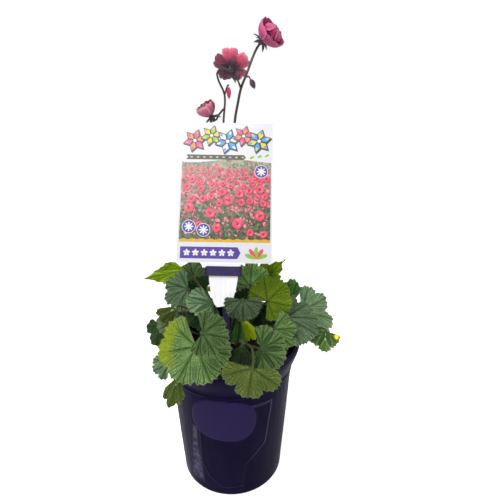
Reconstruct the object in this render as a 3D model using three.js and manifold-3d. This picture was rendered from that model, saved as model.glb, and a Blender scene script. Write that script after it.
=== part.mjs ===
// A geum in a round nursery pot, with a picture label held up by a push-in holder.
// Millimetres, +Z up. The origin is the centre of the pot's flat base. The label faces -Y.

import * as THREE from 'three';
import { mergeVertices } from 'three/addons/utils/BufferGeometryUtils.js';
import Module from 'manifold-3d';

const wasm = await Module();
wasm.setup();

// The clearance between pieces that touch on the real plant
const GAP = 0.3;

// Pot
const POT_HEIGHT = 155;
const RIM_RADIUS = 70;
const RIM_LIP = 3.6;
const SHOULDER_RADIUS = 62;
const SHOULDER_HEIGHT = 127;
const BASE_RADIUS = 53.5;
const BASE_CORNER = 3.5;
const WALL = 1.4;
const FLOOR = 1.8;
const POT_SIDES = 36;
const RELIEF = 0.5;
const DRAIN_RADIUS = 4;
const DRAIN_CIRCLE = 38;
const DRAIN_COUNT = 6;

// Oval pad and shield-shaped panel on the wall, seen from the front
const OVAL = { width: 60, height: 47, corner: 20, x: -8, z: 100, tilt: 6 };
const PANEL = [[-33, 118], [38, 114], [32, 64], [12, 43], [10, 14], [-11, 12], [-24, 24], [-31, 40]];

// Soil
const SOIL_TOP = 131;
const SOIL_ROUGH = 1.2;
const HOLE_DEPTH = 9;
const HOLE_GAP = 0.9;

// Label card: a flat plastic sheet with a neck and a tongue, leaning back
const CARD = { width: 87, height: 134, corner: 1.5, thick: 1, lean: 28, yaw: -3.5, roll: 0.8 };
const CARD_FOOT = [-5.5, -24, 245];
const NECK = { width: 30.5, height: 3 };
const TONGUE = { top: 27, bottom: 15, height: 39 };

// Label holder: a closed loop round the neck on a pointed stake
const LOOP = { width: 32.6, height: 8.6, bar: 1.8, slot: 1.8, cheek: 2.2, drop: 7.6 };
const STAKE = { width: 6.2, thick: 2.4, foot: [0, -49, 60], point: 12 };

// Leaf stalks and blades
const STALK_RADIUS = 1.2;
const STALK_STEP = 20;
const STALK_UPRIGHT = 8;
const CROWN = { outer: 24, inner: 8, low: 160, high: 215 };
const BLADE_THICK = 0.8;
const TOOTH = 0.035;
const PLEAT = 0.05;

// Blooms
const PETAL_THICK = 0.75;
const SCAPE_RADIUS = 1.5;
const BRANCH_RADIUS = 0.8;
const COLLAR = { radius: 2.6, height: 1.6 };
const SEPALS = 5;

const COLOURS = {
  pot: '#262036',
  soil: '#2b211b',
  card: '#f2f2f0',
  holder: '#3f3560',
  deep: '#24491d',
  mid: '#4b7a34',
  blue: '#5d8463',
  lime: '#7b9c10',
  olive: '#6f7d2a',
  pale: '#86a36b',
  stem: '#3b2a35',
  rose: '#c2406f',
  pink: '#d4607e',
  coral: '#e8485a',
  tan: '#b9a489',
};

const radians = THREE.MathUtils.degToRad;
const vector = (point) => new THREE.Vector3(...point);

// Solids

function solid(geometry) {
  const plain = geometry.clone();
  plain.deleteAttribute('normal');
  plain.deleteAttribute('uv');
  const merged = mergeVertices(plain, 1e-4);
  return new wasm.Manifold(new wasm.Mesh({
    numProp: 3,
    vertProperties: new Float32Array(merged.attributes.position.array),
    triVerts: new Uint32Array(merged.index.array),
  }));
}

function join(solids) {
  return solids.reduce((sum, next) => sum.add(next));
}

function piece(name, body, tone, roughness = 0.6) {
  const mesh = body.getMesh();
  const geometry = new THREE.BufferGeometry();
  geometry.setAttribute('position', new THREE.BufferAttribute(mesh.vertProperties, 3));
  geometry.setIndex(new THREE.BufferAttribute(mesh.triVerts, 1));
  geometry.computeVertexNormals();
  const material = new THREE.MeshStandardMaterial({ color: COLOURS[tone], roughness, metalness: 0 });
  const part = new THREE.Mesh(geometry, material);
  part.name = name;
  return part;
}

function indexed(points, faces) {
  const geometry = new THREE.BufferGeometry();
  const numbers = points.flatMap((p) => p.toArray());
  geometry.setAttribute('position', new THREE.Float32BufferAttribute(numbers, 3));
  geometry.setIndex(faces.flat());
  return geometry;
}

function lathe(profile, sides) {
  const geometry = new THREE.LatheGeometry(profile.map(([r, z]) => new THREE.Vector2(r, z)), sides);
  return geometry.rotateX(Math.PI / 2);
}

function tube(path, radius, steps, sides = 5) {
  const section = new THREE.Shape();
  for (let i = 0; i < sides; i += 1) {
    const angle = (i / sides) * 2 * Math.PI;
    const corner = [radius * Math.cos(angle), radius * Math.sin(angle)];
    if (i === 0) section.moveTo(...corner);
    else section.lineTo(...corner);
  }
  return solid(new THREE.ExtrudeGeometry(section, { steps, bevelEnabled: false, extrudePath: path }));
}

// A thin sheet: points of one face, their unit normals, its triangles and its edge loop.
// Both faces get the same triangles, so a waved sheet never crosses itself.
function sheet(points, normals, faces, edge, thick) {
  const upper = points.map((p, i) => p.clone().addScaledVector(normals[i], thick / 2));
  const lower = points.map((p, i) => p.clone().addScaledVector(normals[i], -thick / 2));
  const count = points.length;
  const under = faces.map(([a, b, c]) => [a + count, c + count, b + count]);
  const rim = edge.flatMap((a, i) => {
    const b = edge[(i + 1) % edge.length];
    return [[b, a, a + count], [b, a + count, b + count]];
  });
  return indexed([...upper, ...lower], [...faces, ...under, ...rim]);
}

// The unit normal of a surface given as a function of two numbers
function normalAt(surface, u, v) {
  const step = 0.02;
  const along = surface(u + step, v).sub(surface(u - step, v));
  const across = surface(u, v + step).sub(surface(u, v - step));
  return along.cross(across).normalize();
}

// Pot

function wallRadius(z) {
  const rise = (z - BASE_CORNER) / (SHOULDER_HEIGHT - BASE_CORNER);
  return THREE.MathUtils.lerp(BASE_RADIUS, SHOULDER_RADIUS, rise);
}

// A ring that follows the wall and stands proud of it, for the raised shapes to be cut from
function wallSkin(proud) {
  const [low, high] = [10, SHOULDER_HEIGHT - 0.5];
  const sunk = WALL / 2;
  const profile = [
    [wallRadius(low) - sunk, low],
    [wallRadius(low) + proud, low],
    [wallRadius(high) + proud, high],
    [wallRadius(high) - sunk, high],
    [wallRadius(low) - sunk, low],
  ];
  return solid(lathe(profile, POT_SIDES));
}

// An upright outline, pushed straight back through the front of the wall
function frontPrism(shape) {
  const depth = 45;
  const geometry = new THREE.ExtrudeGeometry(shape, { depth, bevelEnabled: false, curveSegments: 5 });
  return solid(geometry.rotateX(Math.PI / 2).translate(0, -RIM_RADIUS + depth, 0));
}

function ovalShape() {
  const corner = OVAL.corner;
  const [x, y] = [OVAL.width / 2, OVAL.height / 2];
  const shape = new THREE.Shape();
  shape.moveTo(-x + corner, -y);
  shape.lineTo(x - corner, -y);
  shape.absarc(x - corner, -y + corner, corner, -Math.PI / 2, 0);
  shape.lineTo(x, y - corner);
  shape.absarc(x - corner, y - corner, corner, 0, Math.PI / 2);
  shape.lineTo(-x + corner, y);
  shape.absarc(-x + corner, y - corner, corner, Math.PI / 2, Math.PI);
  shape.lineTo(-x, -y + corner);
  shape.absarc(-x + corner, -y + corner, corner, Math.PI, 1.5 * Math.PI);
  return shape;
}

function potBody() {
  const corner = BASE_CORNER;
  const outside = [
    [0, 0],
    [BASE_RADIUS - corner, 0],
    [BASE_RADIUS - 0.3 * corner, 0.3 * corner],
    [BASE_RADIUS, corner],
    [SHOULDER_RADIUS, SHOULDER_HEIGHT],
    [SHOULDER_RADIUS + 1.6, SHOULDER_HEIGHT + 7],
    [RIM_RADIUS - 2.2, POT_HEIGHT - 11],
    [RIM_RADIUS, POT_HEIGHT - 4],
    [RIM_RADIUS, POT_HEIGHT],
  ];
  const inside = [
    [RIM_RADIUS - RIM_LIP, POT_HEIGHT],
    [RIM_RADIUS - RIM_LIP, POT_HEIGHT - 6],
    [SHOULDER_RADIUS + 1.6 - WALL, SHOULDER_HEIGHT + 7.6],
    [SHOULDER_RADIUS - WALL, SHOULDER_HEIGHT],
    [BASE_RADIUS - WALL, corner],
    [BASE_RADIUS - WALL - 1, FLOOR],
    [0, FLOOR],
  ];
  let body = solid(lathe([...outside, ...inside], POT_SIDES));

  const pad = frontPrism(ovalShape()).rotate([0, OVAL.tilt, 0]).translate([OVAL.x, 0, OVAL.z]);
  body = body.add(wallSkin(2 * RELIEF).intersect(pad));

  const outline = new THREE.Shape(PANEL.map(([x, z]) => new THREE.Vector2(x, z)));
  const panel = wallSkin(RELIEF).intersect(frontPrism(outline));
  body = body.add(panel).add(panel.rotate([0, 0, 180]));

  for (let i = 0; i < DRAIN_COUNT; i += 1) {
    const hole = new THREE.CylinderGeometry(DRAIN_RADIUS, DRAIN_RADIUS, 4 * FLOOR, 8);
    const angle = ((i + 0.5) / DRAIN_COUNT) * 2 * Math.PI;
    hole.rotateX(Math.PI / 2).translate(DRAIN_CIRCLE * Math.cos(angle), DRAIN_CIRCLE * Math.sin(angle), 0);
    body = body.subtract(solid(hole));
  }
  return body;
}

// Leaves. hub is where the blade meets its stalk, and size runs from there to its tip. aim turns
// the blade about Z from +X, pitch tips it up or down, and roll turns it about its midrib. bend,
// wing and fold curl it along, across and into a V, and point draws it to a tip. The stalk comes
// in from behind the blade, lead is the share of it that does, and rootAngle places its root.

const SHAPES = {
  round: { lobes: 5, teeth: 5, reach: 152, back: 0.2, notch: 0.16 },
  fan: { lobes: 5, teeth: 3, reach: 140, back: 0.3, notch: 0.16 },
  three: { lobes: 3, teeth: 7, reach: 128, back: 0.1, notch: 0.3 },
  small: { lobes: 3, teeth: 4, reach: 130, back: 0.3, notch: 0.12 },
  wedge: { lobes: 3, teeth: 4, reach: 75, back: 0.5, notch: 0.12 },
  blade: { lobes: 3, teeth: 4, reach: 60, back: 3, notch: 0.06 },
};

const LEAVES = [
  // The front rows, left to right
  { shape: 'round', hub: [-30, -64, 184], aim: -137, pitch: -48, size: 32, wing: -0.2, roll: -41,
    back: 0.1, reach: 130, tone: 'mid' },
  { shape: 'fan', hub: [-23, -78, 205], aim: -6, pitch: -11, size: 21, bend: 0.2, roll: 58, reach: 118,
    tone: 'mid' },
  { shape: 'three', hub: [17, -87, 176], aim: -145, pitch: -79, size: 28, bend: 0.2, roll: -47,
    back: 0.3, reach: 100, lead: 0.5, rootAngle: -72, tone: 'olive' },
  { shape: 'wedge', hub: [10, -63, 185], aim: -126, pitch: -76, size: 21, roll: -31, reach: 45,
    teeth: 3, lead: 0.06, rootAngle: -68, tone: 'deep' },
  { shape: 'fan', hub: [26, -57, 175], aim: -27, pitch: -16, size: 23, wing: -0.2, roll: 52,
    back: 0.15, reach: 135, teeth: 4, rootAngle: -52, tone: 'mid' },
  { shape: 'fan', hub: [38, -44, 187], aim: -14, pitch: -41, size: 22, roll: 58, reach: 110, lead: 0.4,
    rootAngle: -42, tone: 'mid' },
  { shape: 'fan', hub: [11, -43, 217], aim: -93, pitch: -63, size: 19, bend: 0.3, roll: -1, reach: 100,
    lead: 0.06, rootAngle: -97, tone: 'blue' },
  { shape: 'wedge', hub: [8, -26, 194], aim: -37, pitch: -76, size: 29, roll: 50, reach: 35,
    tone: 'deep' },
  { shape: 'round', hub: [35, -20, 204], aim: 19, pitch: 38, size: 24, bend: -0.2, roll: 55, back: 0.3,
    reach: 140, tone: 'lime' },
  { shape: 'round', hub: [53, -24, 188], aim: 4, pitch: -2, size: 32, bend: 0.3, wing: 0.2, roll: 27,
    reach: 90, tone: 'blue' },
  { shape: 'round', hub: [72, 4, 179], aim: 6, pitch: -15, size: 38, bend: 0.3, roll: 40, back: 0.4,
    reach: 92, tone: 'blue' },
  { shape: 'small', hub: [90, -32, 177], aim: -109, pitch: -63, size: 19, fold: -35, roll: -4,
    reach: 80, tone: 'mid' },
  { shape: 'blade', hub: [64, 14, 184], aim: 94, pitch: 81, size: 26, roll: -12, back: 5, reach: 36,
    teeth: 2, tone: 'deep' },
  { shape: 'wedge', hub: [27, 6, 208], aim: 16, pitch: 39, size: 38, fold: 40, roll: 51, reach: 60,
    teeth: 3, point: 0.5, tone: 'lime' },
  { shape: 'fan', hub: [19, -8, 214], aim: 70, pitch: 74, size: 23, roll: 16, reach: 100, tone: 'mid' },
  { shape: 'small', hub: [-16, -25, 206], aim: -162, pitch: 6, size: 25, roll: -18, reach: 80,
    tone: 'blue' },
  { shape: 'fan', hub: [-41, -4, 211], aim: -170, pitch: -18, size: 24, bend: 0.2, roll: -41,
    reach: 105, tone: 'blue' },
  { shape: 'blade', hub: [-44, 13, 224], aim: 180, pitch: -12, size: 42, fold: 15, roll: -64,
    reach: 48, teeth: 3, lead: 0.06, rootAngle: 169, point: 0.66, tone: 'lime' },
  { shape: 'small', hub: [-25, 13, 198], aim: -173, pitch: 34, size: 20, roll: -71, reach: 70,
    teeth: 3, lead: 0.5, rootAngle: 167, tone: 'deep' },
  { shape: 'fan', hub: [-25, -34, 201], aim: -119, pitch: -74, size: 17, roll: -29, reach: 105,
    rootAngle: -163, tone: 'deep' },
  { shape: 'small', hub: [-51, -30, 191], aim: -165, pitch: -24, size: 17, roll: -45, reach: 95,
    tone: 'pale' },
  { shape: 'small', hub: [-65, -17, 177], aim: 180, pitch: -54, size: 21, fold: -20, roll: -70,
    reach: 75, teeth: 3, lead: 0.06, rootAngle: -185, tone: 'deep' },
  { shape: 'small', hub: [-56, -54, 161], aim: -171, pitch: -22, size: 15, roll: -54, reach: 62,
    teeth: 3, tone: 'blue' },
  { shape: 'blade', hub: [-45, -76, 163], aim: -149, pitch: -69, size: 27, fold: -20, roll: -49,
    reach: 32, teeth: 3, tone: 'olive' },
  // The back and the sides
  { shape: 'fan', hub: [2, 50, 172], aim: 88, pitch: -14, size: 34, bend: 0.5, tone: 'mid' },
  { shape: 'fan', hub: [46, 46, 160], aim: 44, pitch: -12, size: 30, bend: 0.5, tone: 'mid' },
  { shape: 'fan', hub: [-42, 44, 164], aim: 134, pitch: -12, size: 33, bend: 0.5, tone: 'blue' },
  { shape: 'fan', hub: [-58, 20, 174], aim: 160, pitch: -18, size: 26, bend: 0.4, tone: 'mid' },
  { shape: 'fan', hub: [24, 38, 190], aim: 75, pitch: -6, size: 22, bend: 0.4, tone: 'blue' },
  { shape: 'fan', hub: [-26, 45, 186], aim: 122, pitch: -4, size: 25, bend: 0.4, lead: 0.06,
    rootAngle: 115, tone: 'lime' },
  // Inner leaves that fill the gaps
  { shape: 'fan', hub: [15, -15, 197], aim: 87, pitch: 70, size: 17, roll: 1, reach: 100,
    rootAngle: -3, tone: 'deep' },
  { shape: 'small', hub: [-37, 19, 209], aim: 122, pitch: 69, size: 20, roll: -24, teeth: 3, lead: 0.2,
    rootAngle: 147, tone: 'mid' },
  { shape: 'wedge', hub: [-48, -32, 207], aim: -173, pitch: -37, size: 21, fold: -20, roll: -69,
    reach: 30, teeth: 3, lead: 0.06, rootAngle: -137, tone: 'olive' },
  { shape: 'fan', hub: [29, 4, 187], aim: -64, pitch: -80, size: 26, roll: 28, reach: 95, lead: 0.06,
    rootAngle: -13, tone: 'deep' },
];

// The outline's radius at an angle from the midrib: lobes, with teeth on each
function outlineRadius(leaf, angle) {
  const place = ((angle / leaf.reach + 1) / 2) * leaf.lobes;
  const inLobe = 2 * (place - Math.floor(place)) - 1;
  const inTooth = 2 * (place * leaf.teeth - Math.floor(place * leaf.teeth)) - 1;
  let heart = 1 - leaf.back * (1 - Math.cos(radians(angle))) / 2;
  if (leaf.point) heart = 1 - leaf.point * Math.abs(angle / leaf.reach) ** 0.6;
  const lobe = 1 - leaf.notch * Math.abs(inLobe) ** 4;
  return leaf.size * heart * lobe * (1 + TOOTH * (1 - 2 * Math.abs(inTooth)));
}

// Rolls a flat length into an arc that drops below the plane
function roll(length, turn) {
  if (Math.abs(turn) < 1e-6) return [length, 0];
  return [Math.sin(turn * length) / turn, -(1 - Math.cos(turn * length)) / turn];
}

// The blade's surface, x along the midrib and z up from the blade
function bladePoint(leaf, x, y) {
  const [along, drop] = roll(x, leaf.bend / leaf.size);
  const [across, sag] = roll(y, leaf.wing / leaf.size);
  const fold = radians(leaf.fold);
  const angle = THREE.MathUtils.radToDeg(Math.atan2(y, x));
  const place = ((angle / leaf.reach + 1) / 2) * leaf.lobes;
  const pleat = -PLEAT * Math.hypot(x, y) * Math.cos(2 * Math.PI * place);
  const lift = Math.abs(across) * Math.sin(fold);
  return new THREE.Vector3(along, across * Math.cos(fold), drop + sag + lift + pleat);
}

// Fans the triangles from one ring of a sheet out to the next, finer one
function ringFaces(inner, outer, count, split) {
  const faces = [];
  const half = Math.floor(split / 2);
  for (let i = 0; i < count; i += 1) {
    for (let j = 0; j < split; j += 1) {
      const anchor = inner + i + (j < half ? 0 : 1);
      faces.push([anchor, outer + i * split + j, outer + i * split + j + 1]);
    }
    faces.push([inner + i, outer + i * split + half, inner + i + 1]);
  }
  return faces;
}

function bladeSheet(leaf) {
  const rings = [
    { share: 0.42, count: leaf.lobes },
    { share: 0.78, count: leaf.lobes * 2 },
    { share: 1, count: leaf.lobes * leaf.teeth * 2 },
  ];
  const flat = [[0, 0]];
  const starts = [];
  for (const { share, count } of rings) {
    starts.push(flat.length);
    for (let i = 0; i <= count; i += 1) {
      const angle = leaf.reach * ((2 * i) / count - 1);
      const radius = share * outlineRadius(leaf, angle * (1 - 1e-9));
      flat.push([radius * Math.cos(radians(angle)), radius * Math.sin(radians(angle))]);
    }
  }
  const faces = [];
  for (let i = 0; i < rings[0].count; i += 1) faces.push([0, starts[0] + i, starts[0] + i + 1]);
  faces.push(...ringFaces(starts[0], starts[1], rings[0].count, 2));
  faces.push(...ringFaces(starts[1], starts[2], rings[1].count, leaf.teeth));

  const edge = [0, starts[0], starts[1]];
  for (let i = 0; i <= rings[2].count; i += 1) edge.push(starts[2] + i);
  edge.push(starts[1] + rings[1].count, starts[0] + rings[0].count);

  const surface = (x, y) => bladePoint(leaf, x, y);
  const points = flat.map(([x, y]) => surface(x, y));
  const normals = flat.map(([x, y]) => normalAt(surface, x, y));
  return sheet(points, normals, faces, edge, BLADE_THICK);
}

function leafPlace(leaf) {
  const [aim, pitch] = [radians(leaf.aim), radians(leaf.pitch)];
  const flat = Math.cos(pitch);
  const midrib = vector([Math.cos(aim) * flat, Math.sin(aim) * flat, Math.sin(pitch)]);
  const side = vector([-Math.sin(aim), Math.cos(aim), 0]);
  const up = midrib.clone().cross(side);
  const place = new THREE.Matrix4().makeBasis(midrib, side, up);
  place.multiply(new THREE.Matrix4().makeRotationX(radians(leaf.roll)));
  return place.setPosition(vector(leaf.hub));
}

// Where the stalk leaves the crown: low leaves from its outside, tall ones from its middle
function leafRoot(leaf) {
  const [x, y, z] = leaf.hub;
  const angle = leaf.rootAngle === undefined ? Math.atan2(y, x) : radians(leaf.rootAngle);
  const tall = THREE.MathUtils.clamp((z - CROWN.low) / (CROWN.high - CROWN.low), 0, 1);
  const radius = THREE.MathUtils.lerp(CROWN.outer, CROWN.inner, tall);
  return new THREE.Vector3(radius * Math.cos(angle), radius * Math.sin(angle), SOIL_TOP - HOLE_DEPTH + 1);
}

function stalkPath(leaf) {
  const root = leafRoot(leaf);
  const hub = vector(leaf.hub);
  const collar = root.clone().setZ(SOIL_TOP + STALK_UPRIGHT);
  const first = collar.clone().setZ(THREE.MathUtils.lerp(collar.z, hub.z, 0.55));
  const place = leafPlace(leaf);
  const midrib = new THREE.Vector3().setFromMatrixColumn(place, 0);
  const above = new THREE.Vector3().setFromMatrixColumn(place, 2);
  const inward = above.addScaledVector(midrib, 0.4).normalize();
  const second = hub.clone().addScaledVector(inward, -leaf.lead * hub.distanceTo(collar));
  const path = new THREE.CurvePath();
  path.add(new THREE.LineCurve3(root, collar));
  path.add(new THREE.CubicBezierCurve3(collar, first, second, hub));
  return path;
}

function leafBody(leaf) {
  const blade = solid(bladeSheet(leaf).applyMatrix4(leafPlace(leaf)));
  const path = stalkPath(leaf);
  return blade.add(tube(path, STALK_RADIUS, Math.ceil(path.getLength() / STALK_STEP)));
}

const leaves = LEAVES.map((row, i) => ({
  name: `leaf_${String(i + 1).padStart(2, '0')}`,
  lead: 0.28,
  bend: 0,
  wing: 0,
  fold: 0,
  roll: 0,
  ...SHAPES[row.shape],
  ...row,
}));

// Scapes and blooms. open and inner give the lean of the outer and inner petals away from the
// bloom's axis, at the foot and at the tip.

const SCAPES = {
  left: [[-5, 7, 123], [-5, 7, 136], [-7, 22, 215], [-6, 38, 300], [-4, 52, 363], [-2.5, 56, 389],
    [-8, 55, 402], [-9, 52, 408], [-5, 48.5, 412], [2.6, 48, 410]],
  right: [[7, 9, 123], [7, 9, 136], [7, 24, 215], [5, 41, 300], [7, 53, 363], [10.5, 54, 382],
    [13.5, 52, 395], [18.4, 48, 406.6], [26.5, 56, 426], [31, 63, 433.6], [33, 62.5, 435.8]],
};

const BLOOMS = {
  top: { foot: [35, 61, 437.5], axis: [0.65, -0.5, 0.5], petals: 7, length: 20, width: 9,
    open: [88, -4], inner: [56, -30], tone: 'rose' },
  middle: { foot: [4, 53, 413], axis: [0.1, 0.8, 0.6], petals: 7, length: 16, width: 7.5,
    open: [88, 66], inner: [66, 20], tone: 'pink' },
  low: { foot: [-16, 55, 369], axis: [-0.5, -0.2, 0.84], petals: 6, length: 16, width: 7.5,
    open: [72, -20], inner: [50, -20], tone: 'pink' },
};

const CORAL_BUD = [[1.4, 56, 396], [0.05, 0, -1], 1.9, 11];

function bloomPlace(bloom) {
  const up = vector(bloom.axis).normalize();
  const side = new THREE.Vector3(0, 0, 1).cross(up).normalize();
  const front = up.clone().cross(side);
  return new THREE.Matrix4().makeBasis(side, front, up).setPosition(vector(bloom.foot));
}

// A petal or sepal as a grid of rows along it and columns across it
function petalSheet(petal, rows, columns) {
  const { length, width, open, turn, start, height, cup, ruffle } = petal;
  const surface = (s, q) => {
    const lean = (t) => radians(open[0] + (open[1] - open[0]) * t);
    let [radius, rise] = [start, height];
    const pieces = 12;
    for (let i = 0; i < pieces; i += 1) {
      const t = ((i + 0.5) / pieces) * s;
      radius += (length * s / pieces) * Math.sin(lean(t));
      rise += (length * s / pieces) * Math.cos(lean(t));
    }
    const taper = Math.sqrt(1 - 0.55 * (1.6 * s - 0.75) ** 4);
    const half = width * (0.3 + 0.7 * Math.sin(Math.min(1, 1.5 * s) * Math.PI / 2)) * taper;
    const wave = ruffle * s * Math.sin(3 * q + 2 * turn);
    const radial = radius - cup * half * q * q * Math.cos(lean(s)) - wave * Math.cos(lean(s));
    const up = rise + cup * half * q * q * Math.sin(lean(s)) + wave * Math.sin(lean(s));
    const side = half * q;
    return new THREE.Vector3(
      radial * Math.cos(turn) - side * Math.sin(turn),
      radial * Math.sin(turn) + side * Math.cos(turn),
      up,
    );
  };
  const points = [];
  const normals = [];
  for (let i = 0; i <= rows; i += 1) {
    for (let j = 0; j <= columns; j += 1) {
      const [s, q] = [i / rows, (2 * j) / columns - 1];
      const along = s * (1 - 0.08 * q * q);
      points.push(surface(along, q));
      normals.push(normalAt(surface, along, q));
    }
  }
  const wide = columns + 1;
  const faces = [];
  for (let i = 0; i < rows; i += 1) {
    for (let j = 0; j < columns; j += 1) {
      const a = i * wide + j;
      faces.push([a, a + wide, a + 1], [a + 1, a + wide, a + wide + 1]);
    }
  }
  const edge = [];
  for (let i = 0; i <= rows; i += 1) edge.push(i * wide);
  for (let j = 1; j <= columns; j += 1) edge.push(rows * wide + j);
  for (let i = rows - 1; i >= 0; i -= 1) edge.push(i * wide + columns);
  for (let j = columns - 1; j > 0; j -= 1) edge.push(j);
  return sheet(points, normals, faces, edge, PETAL_THICK);
}

function bloomPetals(bloom) {
  const collar = new THREE.CylinderGeometry(COLLAR.radius, COLLAR.radius, COLLAR.height, 8);
  collar.rotateX(Math.PI / 2).translate(0, 0, COLLAR.height / 2 + GAP);
  const parts = [solid(collar)];
  const outer = 5;
  for (let i = 0; i < bloom.petals; i += 1) {
    const inside = i >= outer;
    const ring = inside ? bloom.petals - outer : outer;
    const turn = ((inside ? i + 0.5 : i) / ring) * 2 * Math.PI + 0.3;
    const petal = {
      length: bloom.length * (inside ? 0.8 : 1),
      width: bloom.width * (inside ? 0.8 : 1),
      open: inside ? bloom.inner : bloom.open,
      turn,
      start: 1.6,
      height: GAP + (inside ? 1.2 : 0.5),
      cup: 0.35,
      ruffle: 0.8,
    };
    parts.push(solid(petalSheet(petal, inside ? 2 : 3, 3)));
  }
  return join(parts);
}

function bloomCalyx(bloom) {
  const bell = solid(lathe([[0, -6], [1, -5.6], [2.6, -3], [3.2, -0.4], [3, 0], [0, 0]], 7));
  const parts = [bell];
  for (let i = 0; i < SEPALS; i += 1) {
    const sepal = {
      length: 9,
      width: 1.8,
      open: [104, 124],
      turn: ((i + 0.5) / SEPALS) * 2 * Math.PI,
      start: 2.2,
      height: -1,
      cup: 0.2,
      ruffle: 0,
    };
    parts.push(solid(petalSheet(sepal, 2, 1)));
  }
  return join(parts);
}

function bloomStamens(bloom) {
  const base = COLLAR.height + 2 * GAP;
  const core = [[0, base], [1.2, base], [1.5, base + 2], [1, base + 3.6], [0, base + 4]];
  const parts = [solid(lathe(core, 6))];
  const count = 6;
  for (let i = 0; i < count; i += 1) {
    const spike = new THREE.ConeGeometry(0.6, 6, 3);
    const tip = i % 2 === 0 ? 14 : 32;
    spike.translate(0, 3, 0).rotateX(Math.PI / 2);
    spike.rotateY(radians(tip)).rotateZ((i / count) * 2 * Math.PI).translate(0, 0, base + 1);
    parts.push(solid(spike));
  }
  return join(parts);
}

function placed(body, matrix) {
  return body.transform(matrix.elements);
}

function bud(place, axis, radius, length) {
  const profile = [[0, 0], [0.75 * radius, 0.2 * length], [radius, 0.45 * length],
    [0.6 * radius, 0.8 * length], [0, length]];
  const up = new THREE.Vector3(0, 0, 1);
  const turn = new THREE.Quaternion().setFromUnitVectors(up, vector(axis).normalize());
  const matrix = new THREE.Matrix4().makeRotationFromQuaternion(turn).setPosition(vector(place));
  return placed(solid(lathe(profile, 7)), matrix);
}

function branch(points, radius, steps) {
  return tube(new THREE.CatmullRomCurve3(points.map(vector)), radius, steps);
}

function scapeLeft() {
  return join([
    branch(SCAPES.left, SCAPE_RADIUS, 15),
    branch([[-3.6, 54, 376], [-8, 55.5, 371], [-11, 56.5, 366], [-13.4, 56, 365]], BRANCH_RADIUS, 4),
    branch([[-2.5, 56, 388], [0, 56, 396], [1.4, 56, 398], [1.4, 56, 396.5]], 0.6, 4),
    placed(bloomCalyx(BLOOMS.middle), bloomPlace(BLOOMS.middle)),
    placed(bloomCalyx(BLOOMS.low), bloomPlace(BLOOMS.low)),
  ]);
}

function scapeRight() {
  return join([
    branch(SCAPES.right, SCAPE_RADIUS, 15),
    branch([[17, 48.6, 404], [20.5, 47.5, 405], [22.8, 47, 401]], 0.7, 3),
    bud([22.6, 47, 402.4], [0.45, 0, -1], 2.4, 9),
    branch([[13.5, 52, 394], [11.5, 49, 399], [10, 45, 402]], BRANCH_RADIUS, 3),
    bud([10, 45.5, 401], [0, -0.3, 1], 2, 8),
    placed(bloomCalyx(BLOOMS.top), bloomPlace(BLOOMS.top)),
  ]);
}

// Soil

function soilBody(stems) {
  const foot = FLOOR + GAP;
  const inner = (z) => (wallRadius(z) - WALL) * Math.cos(Math.PI / POT_SIDES) - GAP;
  const profile = [[0, foot], [BASE_RADIUS - WALL - 1.6, foot], [inner(BASE_CORNER + 1), BASE_CORNER + 1],
    [inner(SHOULDER_HEIGHT), SHOULDER_HEIGHT], [inner(SHOULDER_HEIGHT), SOIL_TOP],
    [40, SOIL_TOP], [20, SOIL_TOP], [0, SOIL_TOP]];
  const geometry = lathe(profile, 20);
  const position = geometry.attributes.position;
  for (let i = 0; i < position.count; i += 1) {
    const [x, y, z] = [position.getX(i), position.getY(i), position.getZ(i)];
    if (z < SOIL_TOP - 0.1) continue;
    const lump = Math.sin(x * 0.21 + 1) * Math.cos(y * 0.17 - 2) + 0.5 * Math.sin(x * 0.11 - y * 0.13);
    position.setZ(i, z + SOIL_ROUGH * lump);
  }
  const holes = stems.map(({ place, radius }) => {
    const height = 2 * HOLE_DEPTH;
    const hole = new THREE.CylinderGeometry(radius + HOLE_GAP, radius + HOLE_GAP, height, 5);
    const middle = SOIL_TOP - HOLE_DEPTH + height / 2;
    return solid(hole.rotateX(Math.PI / 2).translate(place.x, place.y, middle));
  });
  return solid(geometry).subtract(join(holes));
}

// Label and holder

function cardPlace() {
  const tip = new THREE.Matrix4().makeRotationX(radians(90 - CARD.lean));
  const turn = new THREE.Matrix4().makeRotationZ(radians(CARD.yaw));
  const sway = new THREE.Matrix4().makeRotationZ(radians(-CARD.roll));
  return turn.multiply(tip).multiply(sway).setPosition(vector(CARD_FOOT));
}

function cardShape() {
  const [x, y, r] = [CARD.width / 2, CARD.height, CARD.corner];
  const [neck, shoulder] = [NECK.width / 2, -NECK.height];
  const [top, bottom, end] = [TONGUE.top / 2, TONGUE.bottom / 2, -TONGUE.height];
  const shape = new THREE.Shape();
  shape.moveTo(neck, 0);
  shape.lineTo(x - r, 0);
  shape.absarc(x - r, r, r, -Math.PI / 2, 0);
  shape.lineTo(x, y - r);
  shape.absarc(x - r, y - r, r, 0, Math.PI / 2);
  shape.lineTo(-x + r, y);
  shape.absarc(-x + r, y - r, r, Math.PI / 2, Math.PI);
  shape.lineTo(-x, r);
  shape.absarc(-x + r, r, r, Math.PI, 1.5 * Math.PI);
  shape.lineTo(-neck, 0);
  shape.lineTo(-neck, shoulder);
  shape.lineTo(-top, shoulder);
  shape.quadraticCurveTo(-top, 0.55 * end, -bottom, end + 2);
  shape.lineTo(-bottom + 2, end);
  shape.lineTo(bottom - 2, end);
  shape.lineTo(bottom, end + 2);
  shape.quadraticCurveTo(top, 0.55 * end, top, shoulder);
  shape.lineTo(neck, shoulder);
  return shape;
}

function cardBody() {
  const geometry = new THREE.ExtrudeGeometry(cardShape(), {
    depth: CARD.thick, bevelEnabled: false, curveSegments: 4,
  });
  return solid(geometry.translate(0, 0, -CARD.thick / 2).applyMatrix4(cardPlace()));
}

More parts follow.
